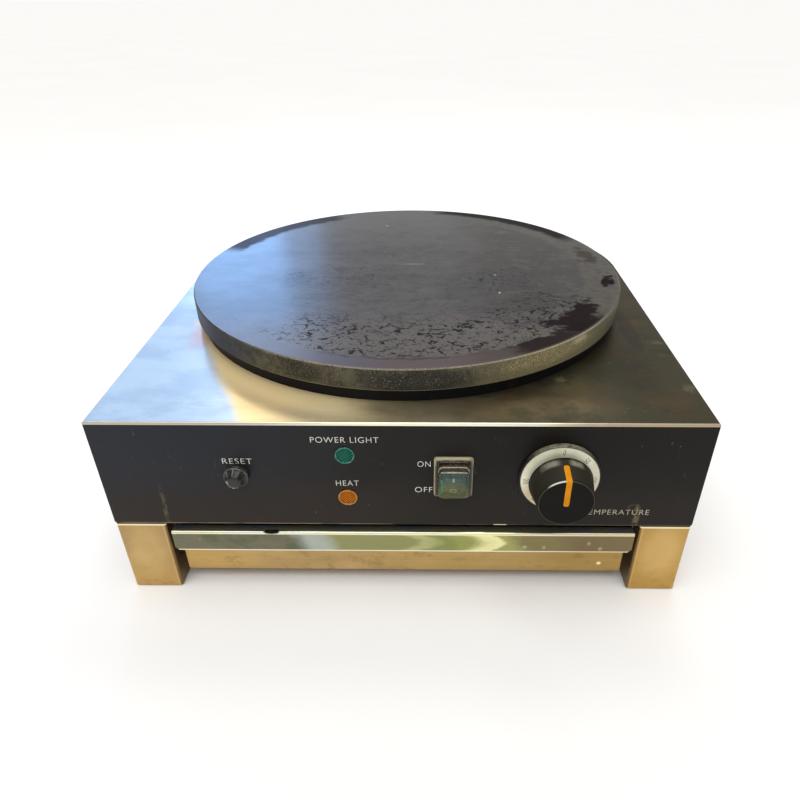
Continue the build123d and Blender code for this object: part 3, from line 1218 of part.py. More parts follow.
LEAD_Z = FLOOR_Z + LEAD_LEVEL_H
BLOCK_FRONT_Y = BLOCK_Y - BLOCK_D / 2
POLES = [BLOCK_X + (pole - 1) * BLOCK_W / BLOCK_POLES for pole in range(BLOCK_POLES)]
SWITCH_BACK_Y = FRONT_Y + SWITCH_DEPTH + BLADE_L
LOW_BLADES_Z = SWITCH_Z - BLADE_PITCH / 2
HIGH_BLADES_Z = SWITCH_Z + BLADE_PITCH / 2
LIMITER_BACK_Y = FRONT_Y + SHEET + LIMITER_DEPTH + BLADE_L
THERMOSTAT_BACK_Y = FRONT_Y + SHEET + THERMOSTAT_DEPTH + BLADE_L

with BuildPart() as internal_leads:
    # supply to the switch
    for pole, row in ((1, -1), (2, 1)):
        x = SWITCH_X + row * BLADE_PITCH / 2
        add(lead((POLES[pole], BLOCK_FRONT_Y, LEAD_Z), (POLES[pole], BLOCK_FRONT_Y - LEAD_RUN, LEAD_Z),
                 (x, SWITCH_BACK_Y + LEAD_RUN, LEAD_Z), (x, SWITCH_BACK_Y + LEAD_RUN, LOW_BLADES_Z),
                 (x, SWITCH_BACK_Y, LOW_BLADES_Z)))
    # switch to the limiter
    limiter_x = RESET_X + BLADE_PITCH / 2
    limiter_z = RESET_Z - LIMITER_R / 2
    add(lead((SWITCH_X - BLADE_PITCH / 2, SWITCH_BACK_Y, HIGH_BLADES_Z),
             (SWITCH_X - BLADE_PITCH / 2, SWITCH_BACK_Y + LEAD_RUN, HIGH_BLADES_Z),
             (limiter_x, LIMITER_BACK_Y + LEAD_RUN, limiter_z),
             (limiter_x, LIMITER_BACK_Y, limiter_z)))
    # switch to the thermostat
    thermostat_x = KNOB_X - BLADE_PITCH
    thermostat_z = KNOB_Z - THERMOSTAT_H / 4
    add(lead((SWITCH_X + BLADE_PITCH / 2, SWITCH_BACK_Y, HIGH_BLADES_Z),
             (SWITCH_X + BLADE_PITCH / 2, SWITCH_BACK_Y + LEAD_RUN, HIGH_BLADES_Z),
             (thermostat_x, THERMOSTAT_BACK_Y + LEAD_RUN, thermostat_z),
             (thermostat_x, THERMOSTAT_BACK_Y, thermostat_z)))
pieces["internal_leads"] = internal_leads


os.makedirs("parts", exist_ok=True)
for node, piece in pieces.items():
    piece.part.label = node
    export_step(piece.part, f"parts/{node}.step")
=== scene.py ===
from math import atan, cos, pi, radians, sin, tan

import bmesh
import bpy
from mathutils import Matrix, Vector


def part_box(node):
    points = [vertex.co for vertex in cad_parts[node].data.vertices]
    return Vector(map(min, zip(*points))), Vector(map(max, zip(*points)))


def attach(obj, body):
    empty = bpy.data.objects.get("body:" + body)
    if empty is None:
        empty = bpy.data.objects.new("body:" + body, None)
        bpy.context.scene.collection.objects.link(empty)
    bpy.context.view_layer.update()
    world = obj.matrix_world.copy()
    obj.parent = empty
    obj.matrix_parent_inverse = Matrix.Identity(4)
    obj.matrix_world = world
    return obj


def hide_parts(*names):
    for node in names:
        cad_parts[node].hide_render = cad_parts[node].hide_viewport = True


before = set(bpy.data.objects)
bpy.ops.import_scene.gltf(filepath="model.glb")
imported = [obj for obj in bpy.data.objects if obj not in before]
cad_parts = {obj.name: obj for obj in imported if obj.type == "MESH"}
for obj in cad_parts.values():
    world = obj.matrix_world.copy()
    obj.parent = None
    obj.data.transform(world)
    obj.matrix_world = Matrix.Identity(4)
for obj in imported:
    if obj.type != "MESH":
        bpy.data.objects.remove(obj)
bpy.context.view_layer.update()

# Looks of an electric crepe maker: the finish of every sheet, casting and moulding, the print on
# the panel and the dial, the faceted lamp lenses, the folded splash cover and the screw heads.
# Metres and degrees, unless a name or a comment says otherwise. +Z is up, the control panel faces
# -Y and +X is to the operator's right. Colours are screen steps from 0 to 255.

MM = 0.001
scene = bpy.context.scene

# ---------------------------------------------------------------- places, read from the frame
panel_low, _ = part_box("front_panel")
plate_low, plate_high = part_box("cooking_plate")
_, cover_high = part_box("top_cover")
lip_low, lip_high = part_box("drawer_front")
tray_low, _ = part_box("drawer_tray")
leg_low, leg_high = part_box("leg_front_left")
knob_low, knob_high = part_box("knob")
ring_low, ring_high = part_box("dial_ring")
nut_low, nut_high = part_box("reset_nut")
bezel_low, bezel_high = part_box("switch_bezel")
boot_low, boot_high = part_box("switch_boot")
gland_low, gland_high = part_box("cable_gland")

PANEL_Y = panel_low.y
PANEL_BOTTOM = panel_low.z
REAR_Y = cover_high.y
HALF_W = cover_high.x
PLATE_TOP = plate_high.z
PLATE_MID = (plate_low + plate_high) / 2
PLATE_CHAMFER = 0.9 * MM
KNOB_MID = (knob_low + knob_high) / 2
KNOB_FACE_R = 19.7 * MM
RING_MID = (ring_low + ring_high) / 2
RING_R = (ring_high.x - ring_low.x) / 2
RING_BORE_R = 19.0 * MM
LEG_INNER = min(abs(leg_low.x), abs(leg_high.x))
LEG_TOP = leg_high.z
SWITCH_MID = (bezel_low + bezel_high) / 2

# marks with a place of their own
LIP_GLINTS = ((0.0975, 0.0060), (0.1130, 0.0055), (0.1480, 0.0100), (0.1575, 0.0045))   # x, height
CRUMBS = ((-0.0275, 0.1365, 1.0), (0.0835, -0.0600, 1.0), (0.0830, -0.0170, 0.6))   # and the share


# ---------------------------------------------------------------- shader helpers
def paint(red, green, blue):
    """A colour given in screen steps from 0 to 255, as the linear colour that a shader takes."""
    shares = (red / 255, green / 255, blue / 255)
    linear = [s / 12.92 if s <= 0.04045 else ((s + 0.055) / 1.055) ** 2.4 for s in shares]
    return (*linear, 1.0)


class Signal:
    """A value that varies over a surface. An operator on it adds a Math node."""

    def __init__(self, finish, socket):
        self.finish = finish
        self.socket = socket

    def math(self, operation, *values):
        return self.finish.node("Math", {"operation": operation}, dict(enumerate(values)))

    def __add__(self, other):
        return self.math("ADD", self, other)

    def __sub__(self, other):
        return self.math("SUBTRACT", self, other)

    def __rsub__(self, other):
        return self.math("SUBTRACT", other, self)

    def __mul__(self, other):
        return self.math("MULTIPLY", self, other)

    def __truediv__(self, other):
        return self.math("DIVIDE", self, other)

    def __pow__(self, other):
        return self.math("POWER", self, other)

    def __abs__(self):
        return self.math("ABSOLUTE", self)

    def most(self, other):
        return self.math("MAXIMUM", self, other)

    __radd__ = __add__
    __rmul__ = __mul__


class Finish:
    """One material, whose patterns follow the object's own coordinates in metres."""

    def __init__(self, name):
        self.material = bpy.data.materials.new(name)
        self.material.use_nodes = True
        self.tree = self.material.node_tree
        self.tree.nodes.clear()
        self.place = self.node("TexCoord", output="Object")
        self.x, self.y, self.z = self.node("SeparateXYZ", {}, {"Vector": self.place}, ("X", "Y", "Z"))

    def node(self, kind, settings={}, sockets={}, output=0):
        """Adds a shader node: its settings first, then the values or links of its sockets."""
        made = self.tree.nodes.new("ShaderNode" + kind)
        for setting, value in settings.items():
            setattr(made, setting, value)
        for key, value in sockets.items():
            if isinstance(value, Signal):
                self.tree.links.new(value.socket, made.inputs[key])
            else:
                made.inputs[key].default_value = value
        if isinstance(output, tuple):
            return [Signal(self, made.outputs[key]) for key in output]
        return Signal(self, made.outputs[output])

    def noise(self, grain, detail=2.0, roughness=0.5, stretch=(1, 1, 1), shift=(0, 0, 0), swirl=0.0):
        """Clouds from 0 to 1. grain is a cloud's size in mm, stretch lengthens it along x, y, z."""
        return self.node("TexNoise", {}, {
            "Vector": self.mapped(self.place, stretch, shift), "Scale": 1 / (grain * MM),
            "Detail": detail, "Roughness": roughness, "Distortion": swirl})

    def mapped(self, place, stretch, shift=(0, 0, 0)):
        return self.node("Mapping", {}, {
            "Vector": place, "Location": shift, "Scale": [1 / share for share in stretch]})

    def specks(self, size, spacing, shift=(0, 0, 0), stretch=(1, 1, 1)):
        """Small round dots, 1 in their middle, one in each cell. Size and spacing are in mm."""
        reach = self.node("TexVoronoi", {"feature": "F1"}, {
            "Vector": self.mapped(self.place, stretch, shift), "Scale": 1 / (spacing * MM)}, "Distance")
        return self.grade(reach, size / spacing, 0)

    def crackle(self, cell, stretch, bend, grain):
        """How far a point is from the wandering lines between cells, as a share of a cell. In mm."""
        wander = self.node("TexNoise", {}, {
            "Vector": self.place, "Scale": 1 / (grain * MM), "Detail": 3.0}, "Color")
        bent = self.node("VectorMath", {"operation": "MULTIPLY_ADD"}, {
            0: wander, 1: (bend * MM,) * 3, 2: self.place})
        return self.node("TexVoronoi", {"feature": "DISTANCE_TO_EDGE"}, {
            "Vector": self.mapped(bent, stretch), "Scale": 1 / (cell * MM)}, "Distance")

    def around(self, up, across):
        """How far a point is from an axis, and its turn about it in degrees from across = 0."""
        return (across ** 2 + up ** 2) ** 0.5, up.math("ARCTAN2", up, across) * (180 / pi)

    def grade(self, value, start, end, low=0.0, high=1.0):
        """A smooth step: low where value is at start, high where it is at end."""
        return self.node("MapRange", {"interpolation_type": "SMOOTHSTEP"}, {
            "Value": value, "From Min": start, "From Max": end, "To Min": low, "To Max": high})

    def near(self, value, start, end, low=0.0, high=1.0):
        """The same smooth step, over how far value is from 0."""
        return self.grade(abs(value), start, end, low, high)

    def spot(self, across, along, radii, edge=0.4, ragged=0.0, grain=20):
        """A soft blot: 1 inside, 0 outside. across and along are distances from its middle."""
        reach = ((across / radii[0]) ** 2 + (along / radii[1]) ** 2) ** 0.5
        if ragged:
            reach = reach + (self.noise(grain, 4, 0.6) - 0.5) * ragged
        return self.grade(reach, 1 + edge / 2, 1 - edge / 2)

    def mix(self, share, first, second, blend="MIX"):
        """One colour into another by a share from 0 to 1."""
        first, second = (paint(*c) if isinstance(c, tuple) else c for c in (first, second))
        return self.node("Mix", {"data_type": "RGBA", "blend_type": blend}, {
            0: share, 6: first, 7: second}, 2)

    def coat(self, share, colour, blend="MIX"):
        """Lays a colour over the tone so far."""
        self.tone = self.mix(share, self.tone, colour, blend)

    def bump(self, height, distance):
        """A normal bent by height, whose full step is distance in mm."""
        return self.node("Bump", {}, {
            "Height": height, "Distance": distance * MM, "Strength": 1.0})

    def done(self, **sockets):
        """The shader in the tone so far. Underscores in a socket's name stand for spaces."""
        named = {key.replace("_", " "): value for key, value in sockets.items()}
        shader = self.node("BsdfPrincipled", {}, {"Base Color": self.tone, **named})
        out = self.tree.nodes.new("ShaderNodeOutputMaterial")
        self.tree.links.new(shader.socket, out.inputs["Surface"])
        return self.material


def brush_lines(finish):
    """The lines that brushing leaves along X, from 0 to 1."""
    return finish.noise(1.4, 3, 0.65, (90, 1, 1)) * 0.6 + finish.noise(7, 2, 0.6, (40, 1, 1)) * 0.4


# ---------------------------------------------------------------- sheet steel
def top_sheet_steel():
    """Stainless with grease and with painted reflections: pale blue at the left, cream, then dark
    olive.
    """
    f = Finish("top_sheet_steel")
    lines = brush_lines(f)
    drift = f.noise(60, 3, 0.5) - 0.5
    depth = f.y - PANEL_Y
    smudge = f.noise(26, 4, 0.6, (1.6, 1, 1)) - 0.5
    wisp = f.noise(9, 5, 0.7, (1.4, 1, 1)) - 0.5
    lean = f.x + depth * 0.496 + drift * 0.010 + wisp * 0.006
    # Painted reflections: pale blue at the left and left rear, cream further in, then grey-beige and
    # dark olive towards the right.
    blue = f.mix(f.grade(smudge, -0.10, 0.12), (198, 216, 236), (182, 201, 225))
    f.tone = f.mix(f.grade(lean, -0.118, -0.107), blue, (250, 226, 172))
    blush = f.spot(f.x + 0.178, depth - 0.150, (0.012, 0.034), 0.9, 0.5, 12)
    f.coat(f.grade(depth, 0.158, 0.176) * f.grade(f.x, -0.150, -0.165), blue)
    f.coat(blush * 0.55, (226, 176, 160))
    f.coat(f.grade(lean + smudge * 0.03, -0.085, -0.035), (238, 220, 172))
    f.coat(f.grade(f.x + smudge * 0.08, -0.055, 0.02), (148, 138, 112))
    f.coat(f.grade(f.x + smudge * 0.06, 0.015, 0.08), (96, 90, 68))
    f.coat(f.grade(f.x + drift * 0.08, 0.13, 0.20), (76, 70, 52))
    # Painted reflections: a lighter patch at the front right and a bright glint left of the middle.
    glow = f.spot(f.x - 0.095, depth - 0.020, (0.045, 0.017), 0.9, 0.9, 20)
    f.coat(glow * 0.55, (140, 124, 92))
    glint = f.spot(f.x + 0.060, depth - 0.008, (0.040, 0.011), 0.9, 0.5)
    f.coat(glint * 0.5, (236, 222, 186))
    right = f.grade(f.x, 0.02, 0.08)
    grease = f.noise(34, 5, 0.68, (1.3, 1, 1), (0.1, 0.4, 0)) - 0.5
    f.coat(f.grade(grease, 0.0, 0.14) * right * 0.45, (98, 78, 44))
    f.coat(f.grade(grease, -0.02, -0.14) * right * 0.5, (66, 72, 52))
    # Painted shade and reflection of the griddle on the sheet beside its right rim, with darker mottles
    # over the right.
    dark = f.spot(f.x - 0.170, depth - 0.085, (0.030, 0.05), 0.9, 0.9, 20)
    dark = dark.most(f.grade(smudge, 0.02, 0.14) * right * 0.6)
    dark = dark.most(f.spot(f.x - 0.198, depth - 0.150, (0.007, 0.045), 0.7, 0.4, 12))
    f.coat(dark * 0.45, (40, 38, 30))
    smear = f.spot(f.x - 0.219 + wisp * 0.02, depth - 0.048, (0.004, 0.006), 1.0, 2.2, 4)
    smear = smear.most(f.spot(f.x - 0.216, depth - 0.125 + wisp * 0.02, (0.006, 0.0035), 1.0, 2.2, 4))
    smear = smear * 0.4
    smear = smear.most(f.spot(f.x - 0.123, depth - 0.062 + wisp * 0.01, (0.0045, 0.004), 0.9, 1.6, 3))
    smear = smear.most(f.grade(wisp, 0.12, 0.24) * right * 0.35)
    f.coat(smear * 0.65, (150, 144, 112))
    grain = (f.grade(lines, 0.35, 0.65) * f.grade(f.x, -0.11, -0.02)
             * f.grade(f.x, 0.09, 0.03, 0.25, 1.0))
    f.coat(grain * 0.14, (120, 116, 96), "MULTIPLY")
    hair = abs(f.noise(30, 2, 0.5, (1, 1, 1), (0.3, 0.1, 0), 1.5) - 0.5)
    hair = (f.grade(hair, 0.0035, 0.0) * f.grade(f.noise(18, 3, 0.6), 0.55, 0.65)
            * f.grade(f.x, -0.03, 0.05))
    dust = f.specks(0.8, 8) * f.grade(f.noise(40, 2), 0.45, 0.62)
    f.coat(dust.most(hair * 0.6) * 0.6, (176, 168, 138))
    # Painted highlight along the front bend, brightest in the middle and dimmer at the right.
    hem = f.grade(f.y, PANEL_Y + 1.6 * MM, PANEL_Y + 0.7 * MM)
    hem_highlight_tone = f.mix(f.grade(f.x, -0.14, 0.0), (190, 184, 168), (255, 250, 222))
    hem_highlight_tone = f.mix(f.grade(f.x + drift * 0.1, 0.05, 0.16), hem_highlight_tone, (178, 162, 138))
    f.coat(hem, hem_highlight_tone)
    under = (f.grade(f.x ** 2 + (f.y - PLATE_MID.y) ** 2, 0.235 ** 2, 0.205 ** 2)
             * f.grade(f.x, 0.0, -0.06))
    return f.done(
        Metallic=f.grade(under, 0.0, 1.0, 0.72, 0.3),
        Roughness=f.grade(lines + drift * 0.4, 0.2, 0.8, 0.30, 0.42) - f.grade(f.x, 0.02, -0.08) * 0.13,
        Normal=f.bump(lines, 0.003))


def sheet_steel(name, colour, shade, roughness=0.3):
    """Brushed stainless of one tone, with darker patches and a few scuffs."""
    f = Finish(name)
    lines = brush_lines(f)
    clouds = f.noise(45, 4, 0.6, (1, 1, 0.7))
    f.tone = f.mix(f.grade(clouds, 0.35, 0.7), colour, shade)
    f.coat(f.grade(lines, 0.4, 0.62) * 0.22, (150, 144, 124), "MULTIPLY")
    return f.done(
        Metallic=1.0,
        Roughness=f.grade(lines + clouds * 0.5, 0.4, 1.1, roughness - 0.07, roughness + 0.13),
        Normal=f.bump(lines, 0.025))


def leg_steel():
    """Smooth steel in a painted straw-coloured reflection, yellower at the right, with painted shade on
    the inner sides and painted highlights on its bends.
    """
    f = Finish("leg_steel")
    clouds = f.noise(30, 3, 0.5)
    # Painted reflection: the straw colour, warmer low down and yellower at the right, stands in for a
    # warm surface mirrored in the steel.
    f.tone = f.mix(f.grade(clouds, 0.35, 0.68), (184, 152, 100), (170, 140, 90))
    f.coat(f.grade(f.z, 50 * MM, 8 * MM) * 0.6, (200, 164, 98))
    f.coat(f.grade(f.x, -0.05, 0.05) * 0.7, (190, 152, 76))
    smut = f.noise(11, 5, 0.65, (1, 1, 0.8), (0.2, 0, 0))
    low = f.grade(f.z, 46 * MM, 10 * MM, 0.25, 1.0)
    f.coat(f.grade(smut, 0.50, 0.68) * low * 0.35, (134, 102, 54))
    # Painted highlight: a pale patch on the front of each leg.
    glow = f.spot(abs(f.x) - 0.206, f.z - 0.042, (0.014, 0.026), 1.0, 0.6, 20)
    f.coat(glow * 0.4, (226, 194, 132))
    # Painted shade on the inner sides.
    inner = f.near(f.x, LEG_INNER + 2.5 * MM, LEG_INNER + 0.4 * MM)
    f.coat(inner * 0.8, (104, 84, 58))
    # Painted highlight along the bend at the inner edge.
    edge = f.near(abs(f.x) - LEG_INNER - 2.3 * MM, 0.7 * MM, 0.1 * MM)
    f.coat(edge * 0.35, (240, 216, 160))
    top = LEG_TOP - f.z
    # Painted highlight on the top bend, and a painted shadow line in the gap under the panel.
    bent = f.near(top - 2.1 * MM, 1.0 * MM, 0.4 * MM)
    f.coat(bent * 0.85, (255, 246, 214))
    f.coat(f.grade(top, 1.5 * MM, 0.8 * MM) * 0.9, (44, 38, 28))
    return f.done(
        Metallic=0.85, Roughness=f.grade(clouds, 0.3, 0.7, 0.32, 0.42),
        Normal=f.bump(clouds, 0.02))


def tray_steel():
    """The drawer's tray: a painted straw-coloured reflection outside, greener in the middle, with soft
    heat marks.
    """
    f = Finish("tray_steel")
    lines = brush_lines(f)
    clouds = f.noise(30, 4, 0.55, (1.8, 1, 1))
    # Painted reflection: the straw tones across the tray stand in for a warm surface mirrored in the
    # steel.
    f.tone = f.mix(f.grade(clouds, 0.36, 0.66), (204, 172, 116), (190, 160, 108))
    f.coat(f.grade(f.x, -0.05, 0.02) * 0.6, (190, 160, 96))
    f.coat(f.grade(f.x, 0.08, 0.15) * 0.6, (176, 144, 78))
    f.coat(f.grade(f.x, -0.10, -0.16) * 0.5, (214, 176, 100))
    smut = f.noise(12, 5, 0.65, (1.3, 1, 1), (0.2, 0, 0))
    f.coat(f.grade(smut, 0.52, 0.68) * 0.35, (132, 104, 58))
    f.coat(f.grade(lines, 0.4, 0.6) * 0.10, (150, 128, 90), "MULTIPLY")
    # Painted highlight: one small bright glint on the front.
    glint_dot = f.spot(f.x - 0.1616, f.z - 21.6 * MM, (1.9 * MM, 1.7 * MM), 0.5, 0.5, 2)
    f.coat(glint_dot * f.grade(f.y, tray_low.y + 3 * MM, tray_low.y + 1 * MM), (255, 246, 206))
    return f.done(
        Metallic=0.85, Roughness=f.grade(clouds, 0.3, 0.7, 0.30, 0.42),
        Normal=f.bump(lines, 0.01))


def lip_steel():
    """The polished pull: painted reflections in bands of green, blue-grey and olive, with painted
    highlights on its bends.
    """
    f = Finish("lip_steel")
    lines = brush_lines(f)
    high = f.z - lip_low.z
    wave = f.noise(16, 3) - 0.5
    sway = f.noise(26, 4, 0.6, (1, 1, 0.5)) - 0.5
    lean = f.x + high * 0.5 + wave * 0.012
    grey = f.noise(18, 3, 0.6, (1.5, 1, 1))
    # Painted reflections: bands of blue-grey, green, yellow-beige and olive across the front.
    f.tone = f.mix(f.grade(grey, 0.4, 0.62), (122, 118, 98), (100, 106, 84))
    f.coat(f.grade(lean, -0.084, -0.066), (178, 186, 178))
    f.coat(f.grade(lean, -0.060, -0.044), (152, 152, 104))
    f.coat(f.grade(lean, -0.01, 0.03), (150, 154, 100))
    f.coat(f.grade(lean + sway * 0.03, 0.036, 0.050), (172, 172, 108))
    f.coat(f.grade(lean + sway * 0.03, 0.085, 0.105), (140, 128, 88))
    f.coat(f.grade(lean, 0.12, 0.15), (128, 112, 82))
    # Painted reflection: a bright curved streak across the front.
    bow = (high - 0.010) ** 2 * 160 + sway * 0.02
    sweep = f.x - 0.0745 + bow
    streak = f.grade(sweep, -0.020, -0.004) * f.grade(sweep, 0.010, 0.004)
    sweep = abs(f.x - 0.020 + bow * 1.4)
    streak = streak.most(f.grade(sweep, 12 * MM, 2 * MM) * 0.3)
    f.coat(streak * 0.95, (255, 248, 184))
    # Painted reflection: an olive patch.
    olive = f.spot(f.x - 0.045, high - 0.010, (0.022, 0.008), 1.0, 1.0, 14)
    f.coat(olive * 0.4, (130, 146, 72))
    f.coat(f.grade(lines, 0.4, 0.6) * 0.05, (150, 150, 120), "MULTIPLY")
    # Dust specks, with painted glints at LIP_GLINTS.
    specks = f.specks(0.9, 8, (0, 0, 0), (1, 1, 1.8)) * f.grade(f.noise(25, 2), 0.46, 0.6)
    for across, up in LIP_GLINTS:
        specks = specks.most(f.spot(f.x - across, high - up, (1.5 * MM, 1.7 * MM), 0.8, 1.2, 2))
    f.coat(specks * 0.28, (244, 234, 184))
    # Painted highlights on the top and bottom bends, broken at the notch.
    down = lip_high.z - f.z
    bright = f.grade(down, 0.15 * MM, 0.6 * MM) * f.grade(down, 2.7 * MM, 2.1 * MM)
    dip = f.spot(f.x + 0.1035, down, (6.6 * MM, 2.0 * MM), 0.3)
    bright = bright * (1 - dip)
    bright = bright.most(f.grade(high, 1.9 * MM, 1.3 * MM))
    front = f.grade(f.y, lip_low.y + 2.6 * MM, lip_low.y + 1.6 * MM)
    sheen = f.grade(f.noise(30, 3, 0.5, (2, 1, 1)), 0.4, 0.65)
    highlight_tone = f.mix(sheen, (255, 255, 238), (255, 248, 212))
    highlight_tone = f.mix(f.grade(f.x, 0.09, 0.15) * 0.5, highlight_tone, (216, 200, 160))
    f.coat(bright * front * 0.95, highlight_tone)
    # Painted sheen: the shaded shelf behind the top bend gets a light blue-grey tone and little metal.
    shelf = f.grade(f.y, lip_low.y + 1.6 * MM, lip_low.y + 2.6 * MM) * f.grade(down, 1.5 * MM, 0.5 * MM)
    shade = f.mix(f.grade(f.noise(30, 2), 0.4, 0.6), (84, 88, 100), (96, 96, 78))
    f.coat(shelf, shade)
    return f.done(
        Metallic=f.grade(shelf, 0.0, 1.0, 0.85, 0.1),
        Roughness=f.grade(lines, 0.3, 0.7, 0.24, 0.36), Normal=f.bump(lines, 0.006))


# ---------------------------------------------------------------- griddle
def griddle_iron():
    """Seasoned cast iron: wrinkled grey, with dark cracks, brown oil stains, worn edges, and painted
    reflections on its right half and its side.
    """
    f = Finish("griddle_iron")
    across, along = f.x - PLATE_MID.x, f.y - PLATE_MID.y
    reach, turn = f.around(along, across)
    grit = f.noise(1.1, 3, 0.75)
    fine = f.noise(3.2, 4, 0.7)
    clouds = f.noise(36, 5, 0.62, (1.6, 1, 1))
    patch = f.noise(16, 4, 0.62, (1.5, 1, 1), (0.4, 0, 0)) - 0.5
    rag = f.noise(7, 5, 0.7, (1.3, 1, 1), (0, 0.3, 0)) - 0.5

    f.tone = f.mix(f.grade(clouds, 0.35, 0.68), (74, 73, 75), (61, 59, 61))
    f.coat(f.grade(along, 0.04, 0.15), (80, 81, 82))
    # Painted reflection: the right half darkened, as if mirroring a dim room.
    f.coat(f.grade(across + patch * 0.06, 0.02, 0.11) * 0.9, (32, 30, 28))
    f.coat(f.grade(along + patch * 0.06, -0.09, -0.14) * 0.8, (92, 86, 84))
    mottle = f.grade(patch + rag * 0.6, 0.02, 0.18) * f.grade(reach, 0.17, 0.12)
    f.coat(mottle * 0.5, (38, 36, 42))
    rusty = (f.grade(patch * 0.8 + rag, -0.04, 0.12) * f.grade(across, 0.06, 0.11)
             * f.grade(reach, 0.185, 0.16))
    f.coat(rusty * 0.7, (30, 20, 18))
    worn = f.grade(patch * -1 + rag * 0.7, 0.04, 0.16) * f.grade(across, 0.05, 0.11)
    f.coat(worn * 0.4, (84, 80, 74))
    f.coat(f.grade(grit, 0.42, 0.62) * 0.35, (34, 33, 36))
    f.coat(f.grade(fine, 0.56, 0.70) * 0.25, (112, 108, 106))
    ring = f.grade(reach + rag * 0.010, 0.163, 0.170) * f.grade(across, 0.04, 0.10)
    ring = ring * f.grade(rag + patch, -0.12, 0.10, 0.3, 1.0)
    f.coat(ring * 0.7, (78, 73, 60))

    band = f.grade(reach + patch * 0.05, 0.100, 0.138) * f.near(turn + 76 + patch * 20, 60, 42)
    band = band * f.grade(reach + patch * 0.01, 0.186, 0.178)
    faint = f.spot(across - 0.015, along + 0.02, (0.15, 0.11), 0.8, 0.8, 30)
    faint = faint * f.grade(patch + rag * 0.5, -0.06, 0.12)
    broad = f.grade(f.crackle(9, (1.5, 1, 1), 10, 8), 0.10, 0.035)
    broad = broad * f.grade(f.noise(6, 3, 0.6, (1.3, 1, 1), (0, 0.2, 0)), 0.49, 0.55) * band
    small = f.grade(f.crackle(4.5, (1.4, 1, 1), 5, 4), 0.12, 0.05)
    small = small * f.grade(f.noise(3.5, 3, 0.6, (1, 1, 1), (0.3, 0.2, 0)), 0.52, 0.60)
    pits = f.specks(0.8, 2.9, (0.05, 0, 0)) * f.grade(f.noise(9, 3, 0.6), 0.46, 0.58)
    cloud = f.spot(across + 0.062, along + 0.026, (0.062, 0.030), 0.8, 1.4, 22)
    cloud = cloud.most(f.spot(across - 0.088, along + 0.030, (0.040, 0.030), 0.8, 1.4, 18))
    f.coat(cloud * f.grade(patch + rag, -0.06, 0.14) * 0.45, (30, 29, 36))
    marks = broad.most(small.most(pits) * band.most(faint * 0.7).most(cloud * 0.9) * 0.8)
    soft = f.near(f.noise(17, 4, 0.6, (1.9, 1, 1), (0.3, 0, 0), 0.6) - 0.5, 0.03, 0.0)
    soft = soft * f.spot(across, along + 0.03, (0.17, 0.12), 0.6, 0.8, 40) * 0.35
    f.coat(marks * 0.95, (8, 7, 10))
    f.coat(soft, (34, 33, 38))
    glitter = f.specks(0.45, 3.6, (0.3, 0.1, 0)) * band
    f.coat(glitter * 0.55, (170, 166, 168))

    wander = reach + patch * 0.010 + rag * 0.006
    rim = f.grade(wander, 0.181, 0.187) * f.grade(along + across * 0.15, -0.085, -0.115)
    rim = rim * f.grade(across + rag * 0.02, -0.125, -0.075)
    rim_tone = f.mix(f.grade(across + patch * 0.05, -0.05, 0.0), (72, 70, 90), (78, 62, 64))
    rim_tone = f.mix(f.grade(across + patch * 0.05, 0.02, 0.08), rim_tone, (50, 34, 31))
    f.coat(rim * 0.85, rim_tone)
    streak = f.near(wander - 0.1845, 1.8 * MM, 0.6 * MM) * f.grade(across, -0.07, -0.05)
    streak = streak * f.grade(along, -0.11, -0.14) * f.grade(f.noise(20, 3), 0.36, 0.5)
    f.coat(streak * 0.8, (28, 24, 30))

    rear_left = f.grade(reach + rag * 0.016, 0.176, 0.184) * f.near(turn - 140, 28, 20)
    rear_right = f.grade(reach + rag * 0.012 + patch * 0.012, 0.178, 0.187) * f.near(turn - 54, 32, 22)
    f.coat(rear_left * 0.8, (54, 52, 66))
    f.coat(rear_right * 0.9, (26, 23, 22))
    edge = reach + patch * 0.030 + rag * 0.022
    stain = f.grade(edge, 0.164, 0.171) * f.near(turn + 37 + patch * 12 + rag * 12, 12, 8)
    gap = f.grade(reach + rag * 0.01, 0.1865, 0.1905) * f.grade(turn + rag * 10, -37, -31)
    stain = stain * (1 - gap * 0.8)
    tail = f.grade(edge, 0.180, 0.185) * f.near(turn + 54 + rag * 10, 13, 6)
    stain = stain.most(tail * 0.8)
    stain = stain.most(f.spot(reach - 0.189 + rag * 0.01, turn + 10 + rag * 14,
                              (0.006, 4.6), 0.4, 0.9, 9))
    blob = f.spot(reach - 0.183 + rag * 0.03, turn - 13 + patch * 14, (0.009, 5.0), 0.6, 1.2, 9)
    stain = stain.most(blob * 0.5)
    stain = stain * f.grade(reach, 0.1992, 0.1975)
    blots = f.grade(patch + rag * 0.7, 0.05, 0.16) * f.near(reach - 0.180, 0.020, 0.008)
    blots = blots * f.near(turn + 4, 30, 16) * 0.7
    f.coat(blots, (40, 30, 28))
    f.coat(stain * 0.95, (20, 7, 12))
    f.coat(f.grade(reach, 0.1962, 0.1990) * 0.3, (90, 86, 76))
    dust = f.specks(0.7, 20, (0.1, 0, 0)) * f.grade(clouds, 0.45, 0.6)
    for out, back, share in CRUMBS:
        dust = dust.most(f.spot(across - out, along - back, (1.1 * MM, 1.7 * MM), 0.8, 0.8, 2) * share)
    scrape = f.spot(across - 0.006, along - 0.012, (11 * MM, 0.9 * MM), 0.9, 1.0, 4)
    f.coat(dust.most(scrape * 0.5) * 0.75, (184, 184, 186))

    top = f.grade(f.z, PLATE_TOP - 0.10 * MM, PLATE_TOP - 0.02 * MM)
    grains = f.noise(0.9, 3, 0.8)
    cloudy = f.noise(14, 5, 0.7)
    front = f.near(turn + 86, 46, 30)
    face = f.tone
    f.tone = f.mix(f.grade(cloudy, 0.38, 0.62), (94, 89, 72), (62, 59, 49))
